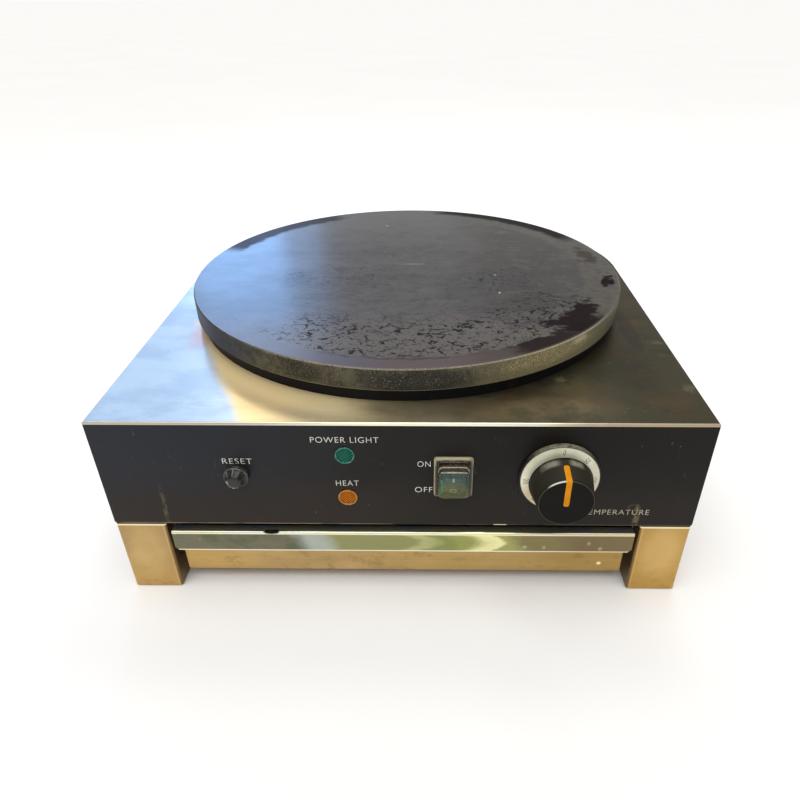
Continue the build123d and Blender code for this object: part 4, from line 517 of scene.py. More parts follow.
    # Painted reflection: the side lighter at the right.
    f.coat(f.grade(across, 0.0, 0.08) * 0.5, (128, 120, 92))
    dirt = f.spot(across - 0.012, f.z - plate_low.z - 7 * MM, (0.045, 0.012), 0.9, 1.2, 12)
    dirt = dirt.most(f.spot(across + 0.072, f.z - plate_low.z - 9 * MM,
                            (0.016, 0.008), 0.9, 1.0, 9) * 0.8)
    f.coat(dirt * 0.85, (32, 31, 28))
    # Painted reflections on the side: lighter at the front right, dark and bluish at the left, darker
    # to the right and rear.
    f.coat(f.grade(across, 0.05, 0.12) * 0.75, (138, 130, 96))
    f.coat(f.grade(across, -0.09, -0.16) * 0.9, (46, 42, 52))
    f.coat(f.grade(turn, -46, -30) * 0.8, (98, 94, 76))
    f.coat(f.grade(turn, -34, -14) * 0.85, (40, 39, 35))
    peppered = front * f.grade(cloudy, 0.34, 0.56, 0.35, 1.0)
    f.coat(f.grade(grains, 0.56, 0.70) * peppered * 0.7, (186, 180, 152))
    f.coat(f.grade(grains, 0.42, 0.28) * peppered * 0.8, (16, 16, 14))
    gold = f.grade(grains, 0.50, 0.62) * f.spot(turn + 55, f.z - PLATE_TOP + 7 * MM,
                                                (13, 6 * MM), 0.9, 1.0, 8)
    f.coat(gold * 0.8, (216, 200, 150))
    scuff = f.spot(across - 0.139 + rag * 0.01, f.z - PLATE_TOP + 4 * MM, (0.007, 0.0025), 0.9, 0.9, 5)
    f.coat(scuff * 0.8, (196, 190, 154))
    low_edge = f.grade(f.z, plate_low.z + 1.2 * MM, plate_low.z + 0.4 * MM) * f.near(turn + 104, 46, 32)
    f.coat(low_edge * 0.7, (184, 176, 148))
    chamfer = f.grade(f.z, PLATE_TOP - PLATE_CHAMFER - 0.35 * MM, PLATE_TOP - PLATE_CHAMFER + 0.1 * MM)
    chamfer = chamfer * f.near(turn + 78, 56, 32, 0.08, 1.0) * f.grade(turn, -30, -46, 0.3, 1.0)
    f.coat(chamfer * f.grade(grains, 0.38, 0.60, 0.1, 0.8), (160, 152, 134))
    f.tone = f.mix(top, f.tone, face)

    height = fine * 0.3 + grit * 0.2 + marks * -0.8 + clouds * 0.4 + (1 - top) * grains * 1.0
    dull = stain.most(marks * 0.8).most(rear_left * 0.75).most(rear_right * 0.8).most(blots * 0.6)
    return f.done(
        Metallic=0.0, Specular_IOR_Level=0.12,
        Coat_Weight=f.grade(dull, 0.95, 0.0) * f.grade(top, 0.0, 1.0, 0.12, 1.0), Coat_Roughness=0.2,
        Roughness=f.grade(clouds, 0.3, 0.7, 0.36, 0.5) + dull * 0.3, Normal=f.bump(height, 0.05))


def skirt_steel():
    """Near-black steel under the griddle, darker and bluer at the left, with a little rust."""
    f = Finish("skirt_steel")
    rust = f.grade(f.noise(14, 5, 0.65), 0.52, 0.72)
    rust = rust * f.grade(f.x, -0.06, 0.02)
    base = f.mix(f.grade(f.x, -0.02, -0.10), (17, 17, 23), (7, 8, 22))
    f.tone = f.mix(rust * 0.35, base, (50, 38, 28))
    return f.done(
        Specular_IOR_Level=0.15, Roughness=f.grade(rust, 0, 1, 0.5, 0.75),
        Normal=f.bump(f.noise(1.5, 3), 0.06))


# ---------------------------------------------------------------- panel and controls
def panel_coat():
    """Satin black print on steel, scuffed, with painted reflections that make it blue-black at the
    upper left and browner low and right.
    """
    f = Finish("panel_coat")
    clouds = f.noise(70, 4, 0.5)
    drift = (clouds - 0.5) * 0.12
    high = f.z - PANEL_BOTTOM
    # Painted reflections: blue-black at the upper left, browner and darker towards the right, brown low
    # down.
    f.tone = f.mix(f.grade(f.x + drift, -0.18, 0.02), (38, 40, 47), (27, 25, 22))
    f.coat(f.grade(f.x + drift, 0.0, 0.10), (15, 12, 7))
    low = f.grade(high + drift * 0.3, 0.062, 0.012)
    f.coat(low * f.grade(f.x, 0.05, -0.08, 0.35, 0.9), (44, 36, 29))
    scratch = abs(f.noise(9, 2, 0.5, (1, 1, 5), (0.2, 0, 0), 1.2) - 0.5)
    scratch = f.grade(scratch, 0.008, 0.0) * f.grade(f.noise(16, 3, 0.6), 0.6, 0.7)
    f.coat(scratch * 0.4, (150, 142, 118))
    run = f.noise(6, 3, 0.6, (1, 1, 2.0)) - 0.5
    left_run = f.spot(f.x + 0.1822 + run * 0.004, high - 0.016, (0.0016, 0.018), 1.0, 0.9, 2.5)
    right_run = f.spot(f.x - 0.1800 + run * 0.006, high - 0.010, (0.0024, 0.010), 0.9, 1.2, 2.5)
    drips = (left_run * 0.55).most(right_run) * f.grade(f.noise(2.0, 4, 0.7, (1, 1, 2)), 0.40, 0.56)
    loop = abs(((f.x - 0.1775) ** 2 + (high - 0.0185) ** 2 * 3) ** 0.5 - 4.5 * MM)
    drips = drips.most(f.grade(loop + run * 0.004, 0.6 * MM, 0.15 * MM)
                       * f.grade(run, -0.10, 0.0) * 0.7)
    f.coat(drips * 0.75, (122, 114, 84))
    dust = f.specks(0.55, 11) * f.grade(f.noise(30, 2), 0.46, 0.66)
    f.coat(dust * 0.5, (140, 128, 96))
    worn = f.grade(high, 1.1 * MM, 0.4 * MM) * f.grade(f.noise(26, 3), 0.30, 0.5)
    f.coat(worn * f.grade(f.x, 0.02, -0.06, 0.25, 0.75), (150, 132, 108))
    nick = f.near(f.x - 0.0765 + run * 0.004, 6.0 * MM, 4.5 * MM) * f.grade(high, 0.9 * MM, 0.5 * MM)
    f.coat(nick, (230, 222, 190))
    return f.done(
        Specular_IOR_Level=0.18,
        Roughness=f.grade(clouds, 0.3, 0.7, 0.34, 0.48) + drips * 0.2,
        Normal=f.bump(f.noise(0.8, 2), 0.01))


def knob_plastic():
    """Satin black moulding: a painted highlight round its face's edge, brightest at the upper left, a
    painted sheen and gleam on its side, and painted shadow and pale dust where its side meets the dial.
    """
    f = Finish("knob_plastic")
    across, up = f.x - KNOB_MID.x, f.z - KNOB_MID.z
    reach, turn = f.around(across, up)
    front = f.grade(f.y, knob_low.y + 1.8 * MM, knob_low.y + 0.8 * MM)
    rim = f.near(reach - KNOB_FACE_R + 0.2 * MM, 0.5 * MM, 0.15 * MM) * front
    shine = f.near(turn + 20, 30, 12)
    grain = f.noise(0.7, 2, 0.6)
    wipe = f.noise(9, 3, 0.6)
    f.tone = f.mix(f.grade(wipe, 0.4, 0.7) * 0.6, (13, 12, 10), (22, 20, 17))
    # Painted sheen: the side lighter and browner than the face.
    side = f.grade(f.y, knob_low.y + 1.0 * MM, knob_low.y + 2.5 * MM)
    f.coat(side * 0.8, (52, 49, 41))
    out = ring_low.y - f.y
    shade = f.grade(out, 6.2 * MM, 5.4 * MM)
    f.coat(shade * 0.9, (8, 8, 6))
    powder = f.grade(out, 4.2 * MM, 3.4 * MM) * f.near(turn - 4, 74, 60)
    f.coat(powder * 0.9, (216, 210, 180))
    gleam = f.near(turn + 24 + wipe * 8, 24, 8).most(f.near(turn - 26 + wipe * 8, 18, 6))
    gleam = gleam * f.near(out - 8.4 * MM, 4.0 * MM, 0.8 * MM) * f.grade(wipe, 0.34, 0.6, 0.5, 1.0)
    f.coat(gleam * 0.6, (170, 166, 148))
    dusty = f.specks(0.5, 2.0) * f.grade(turn, -30, -60) * f.grade(out, 7.5 * MM, 3.0 * MM)
    f.coat(dusty * 0.7, (170, 160, 130))
    # Painted highlight along the face's rounded edge, brightest at the upper left.
    f.coat(rim * 0.4, (104, 96, 76))
    f.coat(rim * shine * 0.85, (240, 236, 224))
    dust = f.specks(0.4, 5) * f.grade(wipe, 0.5, 0.6)
    f.coat(dust * 0.5, (120, 112, 90))
    return f.done(
        Specular_IOR_Level=0.10,
        Roughness=f.grade(wipe, 0.3, 0.7, 0.40, 0.52) + f.grade(out, 3.0 * MM, 1.5 * MM) * 0.4,
        Normal=f.bump(grain, 0.02))


def moulding(name, colour, shade, roughness=0.42, specular=0.5, grain=0.7, metallic=0.0):
    """A plastic, rubber or plated part of one tone, softly mottled, with a fine grain in mm."""
    f = Finish(name)
    clouds = f.noise(9, 4, 0.6)
    f.tone = f.mix(f.grade(clouds, 0.35, 0.7), colour, shade)
    return f.done(
        Metallic=metallic, Specular_IOR_Level=specular,
        Roughness=f.grade(clouds, 0.3, 0.7, roughness - 0.06, roughness + 0.08),
        Normal=f.bump(f.noise(grain, 2), 0.015))


def dial_rim():
    """The dark plastic under the dial, with a painted highlight and pale dust on the upper part of its
    edge.
    """
    f = Finish("dial_rim")
    across, up = f.x - RING_MID.x, f.z - RING_MID.z
    reach, turn = f.around(across, up)
    worn = f.noise(2.6, 4, 0.7)
    f.tone = f.mix(f.grade(worn, 0.4, 0.6), (24, 23, 20), (36, 34, 30))
    # Painted highlight with pale dust on the upper part of the edge.
    dust = f.grade(reach, RING_R + 0.1 * MM, RING_R + 0.7 * MM) * f.near(turn, 60, 20)
    f.coat(dust * f.grade(worn, 0.34, 0.6, 0.3, 1.0) * 0.7, (156, 152, 128))
    return f.done(Specular_IOR_Level=0.25,
                  Roughness=f.grade(worn, 0.3, 0.7, 0.34, 0.5), Normal=f.bump(worn, 0.02))


def dial_foil():
    """Cream print of the dial, darker and warmer towards its bottom and right, with painted shade at
    the edge of its bore.
    """
    f = Finish("dial_foil")
    across, up = f.x - RING_MID.x, f.z - RING_MID.z
    reach, _ = f.around(across, up)
    clouds = f.noise(11, 4, 0.6)
    f.tone = f.mix(f.grade(clouds, 0.38, 0.68), (255, 254, 226), (240, 238, 204))
    # Darker and warmer towards the bottom and towards the right.
    f.coat(f.grade(up, 2 * MM, -16 * MM) * 0.8, (214, 190, 140))
    f.coat(f.grade(across, 18 * MM, 28 * MM) * 0.4, (190, 176, 150))
    f.coat(f.grade(reach, RING_R - 0.9 * MM, RING_R - 0.2 * MM) * 0.5, (190, 196, 190))
    # Painted shade at the edge of the bore, where the knob meets the ring.
    f.coat(f.grade(reach, RING_BORE_R + 0.7 * MM, RING_BORE_R) * 0.5, (120, 116, 96))
    return f.done(
        Metallic=0.1, Roughness=f.grade(clouds, 0.3, 0.7, 0.34, 0.46),
        Normal=f.bump(f.noise(0.5, 2), 0.01))


def lens_plastic(name, deep, bright):
    """Coloured clear plastic with painted shade in its grooves and painted highlights on the tips of
    its facets.
    """
    f = Finish(name)
    out = PANEL_Y - f.y
    glow = f.noise(3.0, 3, 0.6)
    # Painted shade deep in the grooves, painted highlight towards the tips of the facets.
    f.tone = f.mix(f.grade(out, FACET_BASE + 0.05 * MM, FACET_BASE + 0.8 * FACET_H), deep, bright)
    f.coat(f.grade(glow, 0.45, 0.7) * 0.35, deep)
    return f.done(Roughness=0.16, Specular_IOR_Level=0.3)


def clear_rim(name, tint):
    """The clear collar round a lamp lens, with painted grey glints on its front edge, tinted by the
    lens.
    """
    f = Finish(name)
    out = PANEL_Y - f.y
    clouds = f.noise(2.4, 3, 0.6)
    # Painted glints: grey patches on the front edge of the collar.
    f.tone = f.mix(f.grade(clouds, 0.50, 0.62) * 0.5, tint, (190, 196, 176))
    f.coat(f.grade(out, 1.4 * MM, 1.1 * MM), tint)
    return f.done(Roughness=0.1, Alpha=f.grade(out, 0.6 * MM, 1.3 * MM, 0.15, 0.5),
                  Coat_Weight=0.3)


def boot_silicone():
    """Clear silicone with painted shade in its folds: painted highlights on the upper crests, specks in
    the folds, green walls.
    """
    f = Finish("boot_silicone")
    out = PANEL_Y - f.y
    across, up = f.x - SWITCH_MID.x, f.z - SWITCH_MID.z
    half_w, half_h = (boot_high.x - boot_low.x) / 2, (boot_high.z - boot_low.z) / 2
    upper = f.grade(up, half_h - 9.0 * MM, half_h - 6.0 * MM)
    second = f.near(out - BOOT_CRESTS[1] + 0.2 * MM, 0.5 * MM, 0.2 * MM)
    third = f.near(out - BOOT_CRESTS[2] + 0.25 * MM, 0.45 * MM, 0.2 * MM)
    ragged = f.grade(f.noise(1.5, 3, 0.7, (2, 1, 1)), 0.36, 0.56, 0.25, 1.0)
    crest = second.most(third * f.grade(up, half_h - 5.0 * MM, half_h - 3.4 * MM)) * upper * ragged
    face = f.grade(out, BOOT_CRESTS[2] - 4.0 * MM, BOOT_CRESTS[2] - 2.0 * MM)
    face = face * f.grade(up, half_h - 3.6 * MM, half_h - 4.2 * MM)
    dust = f.specks(0.5, 1.3) * f.grade(f.noise(3, 3), 0.44, 0.56)
    folds = f.grade(f.noise(2, 4, 0.7), 0.4, 0.62)
    # Painted shade in the folds.
    f.tone = f.mix(folds, (36, 27, 23), (78, 66, 54))
    f.coat(f.grade(up, half_h - 7.0 * MM, -2 * MM) * 0.8, (74, 78, 56))
    # Painted highlight on the upper crests.
    f.coat(crest * 0.75, (186, 180, 158))
    wall = f.near(across, half_w - 3.2 * MM, half_w - 2.0 * MM)
    pane = f.mix(f.grade(up, -4 * MM, 6 * MM), (116, 124, 74), (58, 92, 84))
    pane = f.mix(wall * f.grade(up, -10 * MM, 2 * MM, 0.3, 0.9), pane, (44, 66, 50))
    green = f.near(across + half_w - 3.3 * MM, 1.2 * MM, 0.4 * MM) * f.near(up + 1 * MM, 7 * MM, 4 * MM)
    pane = f.mix(green * 0.8, pane, (60, 150, 96))
    murk = f.spot(across - 4.5 * MM, up + 4 * MM, (2.4 * MM, 4.0 * MM), 1.0, 1.2, 4)
    pane = f.mix(murk * 0.6, pane, (40, 52, 38))
    f.coat(face, pane)
    f.coat(dust * (1 - face) * 0.7, (170, 164, 140))
    f.coat(dust * face * f.grade(up, 1 * MM, 4 * MM), (196, 226, 216))
    alpha = (f.grade(face, 0.0, 1.0, 0.80, 0.25) + dust * 0.3 + crest * 0.2
             + face * wall.most(green) * 0.35)
    return f.done(Roughness=0.2, Alpha=alpha + murk * face * 0.3, Coat_Weight=0.2)


def switch_frame():
    """Worn olive-cream plastic, with a painted highlight on its outer edge and painted shade where the
    cover meets it.
    """
    f = Finish("switch_frame")
    across, up = f.x - SWITCH_MID.x, f.z - SWITCH_MID.z
    half_w, half_h = (bezel_high.x - bezel_low.x) / 2, (bezel_high.z - bezel_low.z) / 2
    inward = (abs(across) - half_w).most(abs(up) - half_h) * -1
    clouds = f.noise(6, 3, 0.6)
    f.tone = f.mix(f.grade(clouds, 0.38, 0.64), (160, 156, 122), (122, 118, 86))
    f.coat(f.grade(up, 13 * MM, 9 * MM) * 0.75, (92, 76, 56))
    f.coat(f.grade(across, 8 * MM, 12 * MM) * f.grade(up, 15 * MM, 12 * MM) * 0.8, (74, 78, 66))
    # Painted highlight on the outer edge, weaker at the right and at the bottom.
    edge = f.grade(inward, 0.9 * MM, 0.5 * MM) * f.grade(across, 13 * MM, 9 * MM, 0.45, 1.0)
    edge = edge * f.grade(up, -17 * MM, -13 * MM, 0.2, 1.0)
    f.coat(edge * f.grade(clouds, 0.3, 0.6, 0.5, 0.95), (186, 176, 146))
    # Painted shade of a recess just inside the edge, where the cover meets the frame.
    recess_shade = f.grade(inward, 1.3 * MM, 1.8 * MM) * f.grade(up, half_h - 1.4 * MM, half_h - 2.4 * MM)
    f.coat(recess_shade * 0.9, (46, 37, 29))
    return f.done(Roughness=f.grade(clouds, 0.3, 0.7, 0.34, 0.46),
                  Normal=f.bump(clouds, 0.03))


def rocker_plastic():
    """Green moulding under the splash cover, darker at its edges and teal at its upper end."""
    f = Finish("rocker_plastic")
    across, up = f.x - SWITCH_MID.x, f.z - SWITCH_MID.z
    clouds = f.noise(4, 4, 0.6)
    f.tone = f.mix(f.grade(up, -9 * MM, 1 * MM), (122, 122, 62), (92, 104, 84))
    f.coat(f.grade(up, 2.6 * MM, 3.6 * MM), (34, 74, 68))
    f.coat(f.near(across, 7.2 * MM, 8.2 * MM) * 0.75, (30, 74, 52))
    f.coat(f.grade(clouds, 0.45, 0.66) * 0.4, (40, 60, 46))
    return f.done(Roughness=0.25, Normal=f.bump(clouds, 0.03))


def cap_plastic(middle):
    """Black plastic with painted highlights on its ridges, on the rim of its base and on its crown."""
    f = Finish("cap_plastic")
    across, up = f.x - middle.x, f.z - middle.z
    turn = across.math("ARCTAN2", up, across) * (CAP_FACETS / (2 * pi)) + 10 - CAP_TURN
    ridge = f.near(turn.math("FRACT", turn) - 0.5, 0.40, 0.48)
    worn = f.noise(2.5, 3, 0.6)
    out = middle.y - f.y
    body = f.grade(out, 8.0 * MM, 7.4 * MM) * f.grade(out, 2.8 * MM, 3.4 * MM)
    body = body * f.grade(up, 0 * MM, 3 * MM, 0.1, 1.0) * f.grade(across, 2 * MM, -1 * MM, 0.3, 1.0)
    f.tone = f.mix(f.grade(worn, 0.4, 0.65), (20, 20, 21), (32, 31, 31))
    # Painted highlights on the upper ridges, stronger at the left.
    f.coat(ridge * body * f.grade(worn, 0.35, 0.6, 0.4, 0.9), (140, 138, 134))
    # Painted highlight on the rim of the base.
    base = f.near(out - 2.7 * MM, 0.5 * MM, 0.15 * MM)
    f.coat(base * f.grade(worn, 0.35, 0.6, 0.3, 0.8), (140, 138, 134))
    # Painted glint on the front edge of the crown, at the lower left.
    crown = f.near(out - 8.3 * MM, 0.6 * MM, 0.2 * MM) * f.grade(worn, 0.46, 0.54)
    crown = crown * f.grade(across + up, -1 * MM, -4 * MM)
    f.coat(crown * 0.95, (206, 200, 176))
    return f.done(Roughness=f.grade(worn, 0.3, 0.7, 0.3, 0.45),
                  Normal=f.bump(worn, 0.02))


# ---------------------------------------------------------------- finishes by node
def finish_nodes():
    """Gives every carried-over node its finish."""
    table = {
        top_sheet_steel(): "top_cover",
        sheet_steel("casing_steel", (196, 191, 176), (172, 167, 152)): "casing_wall",
        sheet_steel("zinc_steel", (176, 180, 182), (132, 136, 138), 0.42):
            "base_plate heat_pan support_bridge_left support_bridge_right drawer_rail_left "
            "drawer_rail_right limiter_body element_clamp",
        moulding("bolt_steel", (182, 182, 178), (132, 130, 124), 0.32, 0.5, 0.5, 1.0):
            "leg_bolts leg_nuts plate_studs plate_nuts pan_spacers clamp_spacers bridge_bolts "
            "bridge_nuts rail_rivets thermostat_screws thermostat_shaft casing_screws",
        panel_coat(): "front_panel",
        leg_steel(): "leg_front_left leg_front_right leg_rear_left leg_rear_right",
        tray_steel(): "drawer_tray",
        lip_steel(): "drawer_front",
        griddle_iron(): "cooking_plate",
        skirt_steel(): "plate_skirt",
        knob_plastic(): "knob",
        moulding("pointer_paint", (228, 146, 2), (206, 130, 0), 0.5, 0.12): "knob_pointer",
        dial_rim(): "dial_bezel",
        dial_foil(): "dial_ring",
        moulding("bakelite", (38, 32, 28), (24, 21, 19), 0.5): "thermostat_body switch_body",
        moulding("copper_pipe", (196, 122, 84), (136, 84, 60), 0.34, 0.5, 0.4, 1.0):
            "thermostat_capillary limiter_capillary",
        moulding("heater_sheath", (92, 88, 84), (52, 48, 46), 0.5, 0.5, 0.6, 0.8):
            "heating_element_outer heating_element_inner",
        moulding("insulation_felt", (214, 208, 190), (180, 172, 150), 0.9, 0.1, 1.2): "insulation_disc",
        moulding("white_nylon", (226, 224, 214), (204, 200, 186), 0.45):
            "lamp_power_body lamp_heat_body terminal_block",
        moulding("black_nickel", (84, 82, 80), (44, 42, 42), 0.3, 0.5, 0.5, 0.7): "reset_nut",
        moulding("reset_plastic", (30, 30, 31), (19, 19, 20), 0.3, 0.55): "reset_cap",
        moulding("reset_red", (186, 34, 26), (150, 24, 20), 0.35): "reset_button",
        switch_frame(): "switch_bezel",
        rocker_plastic(): "switch_rocker",
        moulding("gland_nylon", (34, 34, 34), (22, 22, 22), 0.45): "cable_gland gland_locknut",
        moulding("brass", (206, 172, 96), (160, 128, 66), 0.3, 0.5, 0.5, 1.0): "earth_stud earth_nuts",
        moulding("lead_sleeve", (150, 34, 26), (112, 26, 22), 0.55): "internal_leads",
        moulding("foot_rubber", (30, 30, 30), (20, 20, 20), 0.75, 0.3): "foot_pads",
    }
    for material, names in table.items():
        for name in names.split():
            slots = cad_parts[name].data.materials
            slots.clear()
            slots.append(material)


# ---------------------------------------------------------------- mesh helpers
def added(name, data):
    """A new object in the scene."""
    made = bpy.data.objects.new(name, data)
    scene.collection.objects.link(made)
    return made


def new_piece(name, mesh, body, material=None):
    """Links a mesh as a piece that rides on a body."""
    piece = added(name, mesh)
    if material:
        mesh.materials.clear()
        mesh.materials.append(material)
    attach(piece, body)
    return piece


def shell(name, rings, close_start=True, close_end=True, smooth=True):
    """A mesh skinned over rings of points, each with as many points as the first."""
    mesh = bpy.data.meshes.new(name)
    work = bmesh.new()
    rows = [[work.verts.new(point) for point in ring] for ring in rings]
    count = len(rings[0])
    for near, far in zip(rows, rows[1:]):
        for i in range(count):
            j = (i + 1) % count
            work.faces.new((near[i], near[j], far[j], far[i]))
    if close_start:
        work.faces.new(rows[0][::-1])
    if close_end:
        work.faces.new(rows[-1])
    bmesh.ops.recalc_face_normals(work, faces=work.faces)
    bmesh.ops.remove_doubles(work, verts=work.verts, dist=1e-7)
    for face in work.faces:
        face.smooth = smooth
    work.to_mesh(mesh)
    work.free()
    return mesh


def turned_ring(middle, radius, reach, steps=48):
    """Points round a circle that faces the front, reach in front of middle."""
    return [(middle.x + radius * cos(2 * pi * i / steps), middle.y - reach,
             middle.z + radius * sin(2 * pi * i / steps)) for i in range(steps)]


def lathe(name, middle, profile, hollow=False):
    """A turning about the Y direction through middle: profile holds (radius, reach forward).
    A hollow one's profile runs all the way round its section."""
    rings = [turned_ring(middle, radius, reach) for radius, reach in profile]
    return shell(name, rings + rings[:hollow], not hollow, not hollow)


def rounded_ring(middle, y, width, height, corner, corner_steps=6):
    """Points round a rounded rectangle that faces the front."""
    points = []
    for quarter in range(4):
        side_x = 1 if quarter in (0, 3) else -1
        side_z = 1 if quarter in (0, 1) else -1
        for step in range(corner_steps + 1):
            turn = pi / 2 * (quarter + step / corner_steps)
            points.append((middle.x + side_x * (width / 2 - corner) + corner * cos(turn), y,
                           middle.z + side_z * (height / 2 - corner) + corner * sin(turn)))
    return points


def finished(piece):
    """The mesh that a piece's curve or modifiers make, with the modifiers taken off."""
    mesh = bpy.data.meshes.new_from_object(piece.evaluated_get(bpy.context.evaluated_depsgraph_get()))
    piece.modifiers.clear()
    return mesh


# ---------------------------------------------------------------- geometry nodes
class Grower:
    """A Geometry Nodes tree with named sizes. Its result is realized and given a material."""

    SOCKETS = {int: "NodeSocketInt", float: "NodeSocketFloat", bpy.types.Material: "NodeSocketMaterial"}

    def __init__(self, name, **sizes):
        self.tree = bpy.data.node_groups.new(name, "GeometryNodeTree")
        self.sizes = {}
        face = self.tree.interface
        face.new_socket("Points", in_out="INPUT", socket_type="NodeSocketGeometry")
        for size, value in sizes.items():
            socket = face.new_socket(size, in_out="INPUT", socket_type=self.SOCKETS[type(value)])
            self.sizes[socket.identifier] = value
        face.new_socket("Result", in_out="OUTPUT", socket_type="NodeSocketGeometry")
        self.entry = self.tree.nodes.new("NodeGroupInput")

    def __getitem__(self, size):
        return self.entry.outputs[size]

    def node(self, kind, settings={}, sockets={}, output=0):
        """Adds a node: its settings first, then the values or links of its sockets."""
        made = self.tree.nodes.new(kind)
        for setting, value in settings.items():
            setattr(made, setting, value)
        for key, value in sockets.items():
            for link in value if isinstance(value, list) else [value]:
                if isinstance(link, bpy.types.NodeSocket):
                    self.tree.links.new(link, made.inputs[key])
                else:
                    made.inputs[key].default_value = link
        return made.outputs[output]

    def math(self, operation, first, second):
        return self.node("ShaderNodeMath", {"operation": operation}, {0: first, 1: second})

    def vector(self, x, y, z):
        return self.node("ShaderNodeCombineXYZ", {}, {"X": x, "Y": y, "Z": z})

    def moved(self, geometry, **sockets):
        return self.node("GeometryNodeTransform", {}, {"Geometry": geometry, **sockets})

    def drum(self, sides, radius, depth):
        return self.node("GeometryNodeMeshCylinder", {"fill_type": "NGON"}, {
            "Vertices": sides, "Side Segments": 1, "Radius": radius, "Depth": depth}, "Mesh")

    def copies(self, points, instance, **sockets):
        return self.node("GeometryNodeInstanceOnPoints", {}, {
            "Points": points, "Instance": instance, **sockets})

    def aimed(self, axis, direction):
        return self.node("FunctionNodeAlignRotationToVector", {"axis": axis}, {"Vector": direction})

    def grow(self, name, geometry, points=None):
        """The finished mesh of the tree, grown on an optional mesh of points."""
        whole = self.node("GeometryNodeRealizeInstances", {}, {"Geometry": geometry})
        whole = self.node("GeometryNodeSetMaterial", {}, {
            "Geometry": whole, "Material": self["Material"]})
        out = self.tree.nodes.new("NodeGroupOutput")
        self.tree.links.new(whole, out.inputs["Result"])
        host = added(name, points or bpy.data.meshes.new(name))
        modifier = host.modifiers.new("grow", "NODES")
        modifier.node_group = self.tree
        for identifier, value in self.sizes.items():
            modifier[identifier] = value
        mesh = finished(host)
        mesh.name = name
        bpy.data.objects.remove(host)
        return mesh


RIB_SIDES = 6
SCREW_HEAD_R, SCREW_HEAD_H = 3.6 * MM, 1.6 * MM
SCREW_BULGE = 1.12              # radius of the dome's ball, as a share of the head's
SCREW_SHANK_R, SCREW_SHANK_L = 1.9 * MM, 6.0 * MM
CROSS_W, CROSS_L, CROSS_DEEP = 0.9 * MM, 4.2 * MM, 1.0 * MM


def ribbed_ring(name, middle, material, count, radius, length, width, height):
    """Ribs that lie along Y on a round body, evenly spaced round it."""
    g = Grower(name, Material=material, Count=count, Radius=radius, Length=length, Width=width,
               Height=height)
    circle = g.node("GeometryNodeMeshCircle", {}, {"Vertices": g["Count"], "Radius": g["Radius"]})
    facing = g.aimed("X", g.node("GeometryNodeInputPosition"))
    ribs = g.copies(circle, g.drum(RIB_SIDES, 0.5, 1.0), Rotation=facing,
                    Scale=g.vector(g["Height"], g["Width"], g["Length"]))
    return g.grow(name, g.moved(ribs, Rotation=(radians(90), 0, 0), Translation=tuple(middle)))


def facet_field(name, middle, material, radius, pitch, height):
    """Small four-sided pyramids over a disc that faces the front, turned 45 degrees."""
    g = Grower(name, Material=material, Radius=radius, Pitch=pitch, Height=height)
    eighth = (0, 0, radians(45))
    span = g.math("MULTIPLY", g["Radius"], 2.2)
    steps = g.math("DIVIDE", span, g["Pitch"])
    grid = g.node("GeometryNodeMeshGrid", {}, {
        "Size X": span, "Size Y": span, "Vertices X": steps, "Vertices Y": steps}, "Mesh")
    distance = g.node("ShaderNodeVectorMath", {"operation": "LENGTH"}, {
        0: g.node("GeometryNodeInputPosition")}, "Value")
    outside = g.node("FunctionNodeCompare", {"operation": "GREATER_THAN"}, {
        0: distance, 1: g["Radius"]})
    kept = g.node("GeometryNodeDeleteGeometry", {"domain": "POINT"}, {
        "Geometry": grid, "Selection": outside})
    pyramid = g.node("GeometryNodeMeshCone", {"fill_type": "NGON"}, {
        "Vertices": 4, "Side Segments": 1, "Fill Segments": 1, "Radius Top": 0.0,
        "Radius Bottom": g.math("MULTIPLY", g["Pitch"], 0.707), "Depth": g["Height"]}, "Mesh")
    turned = g.moved(g.copies(kept, pyramid, Rotation=eighth), Rotation=eighth)
    return g.grow(name, g.moved(turned, Rotation=(radians(90), 0, 0), Translation=tuple(middle)))


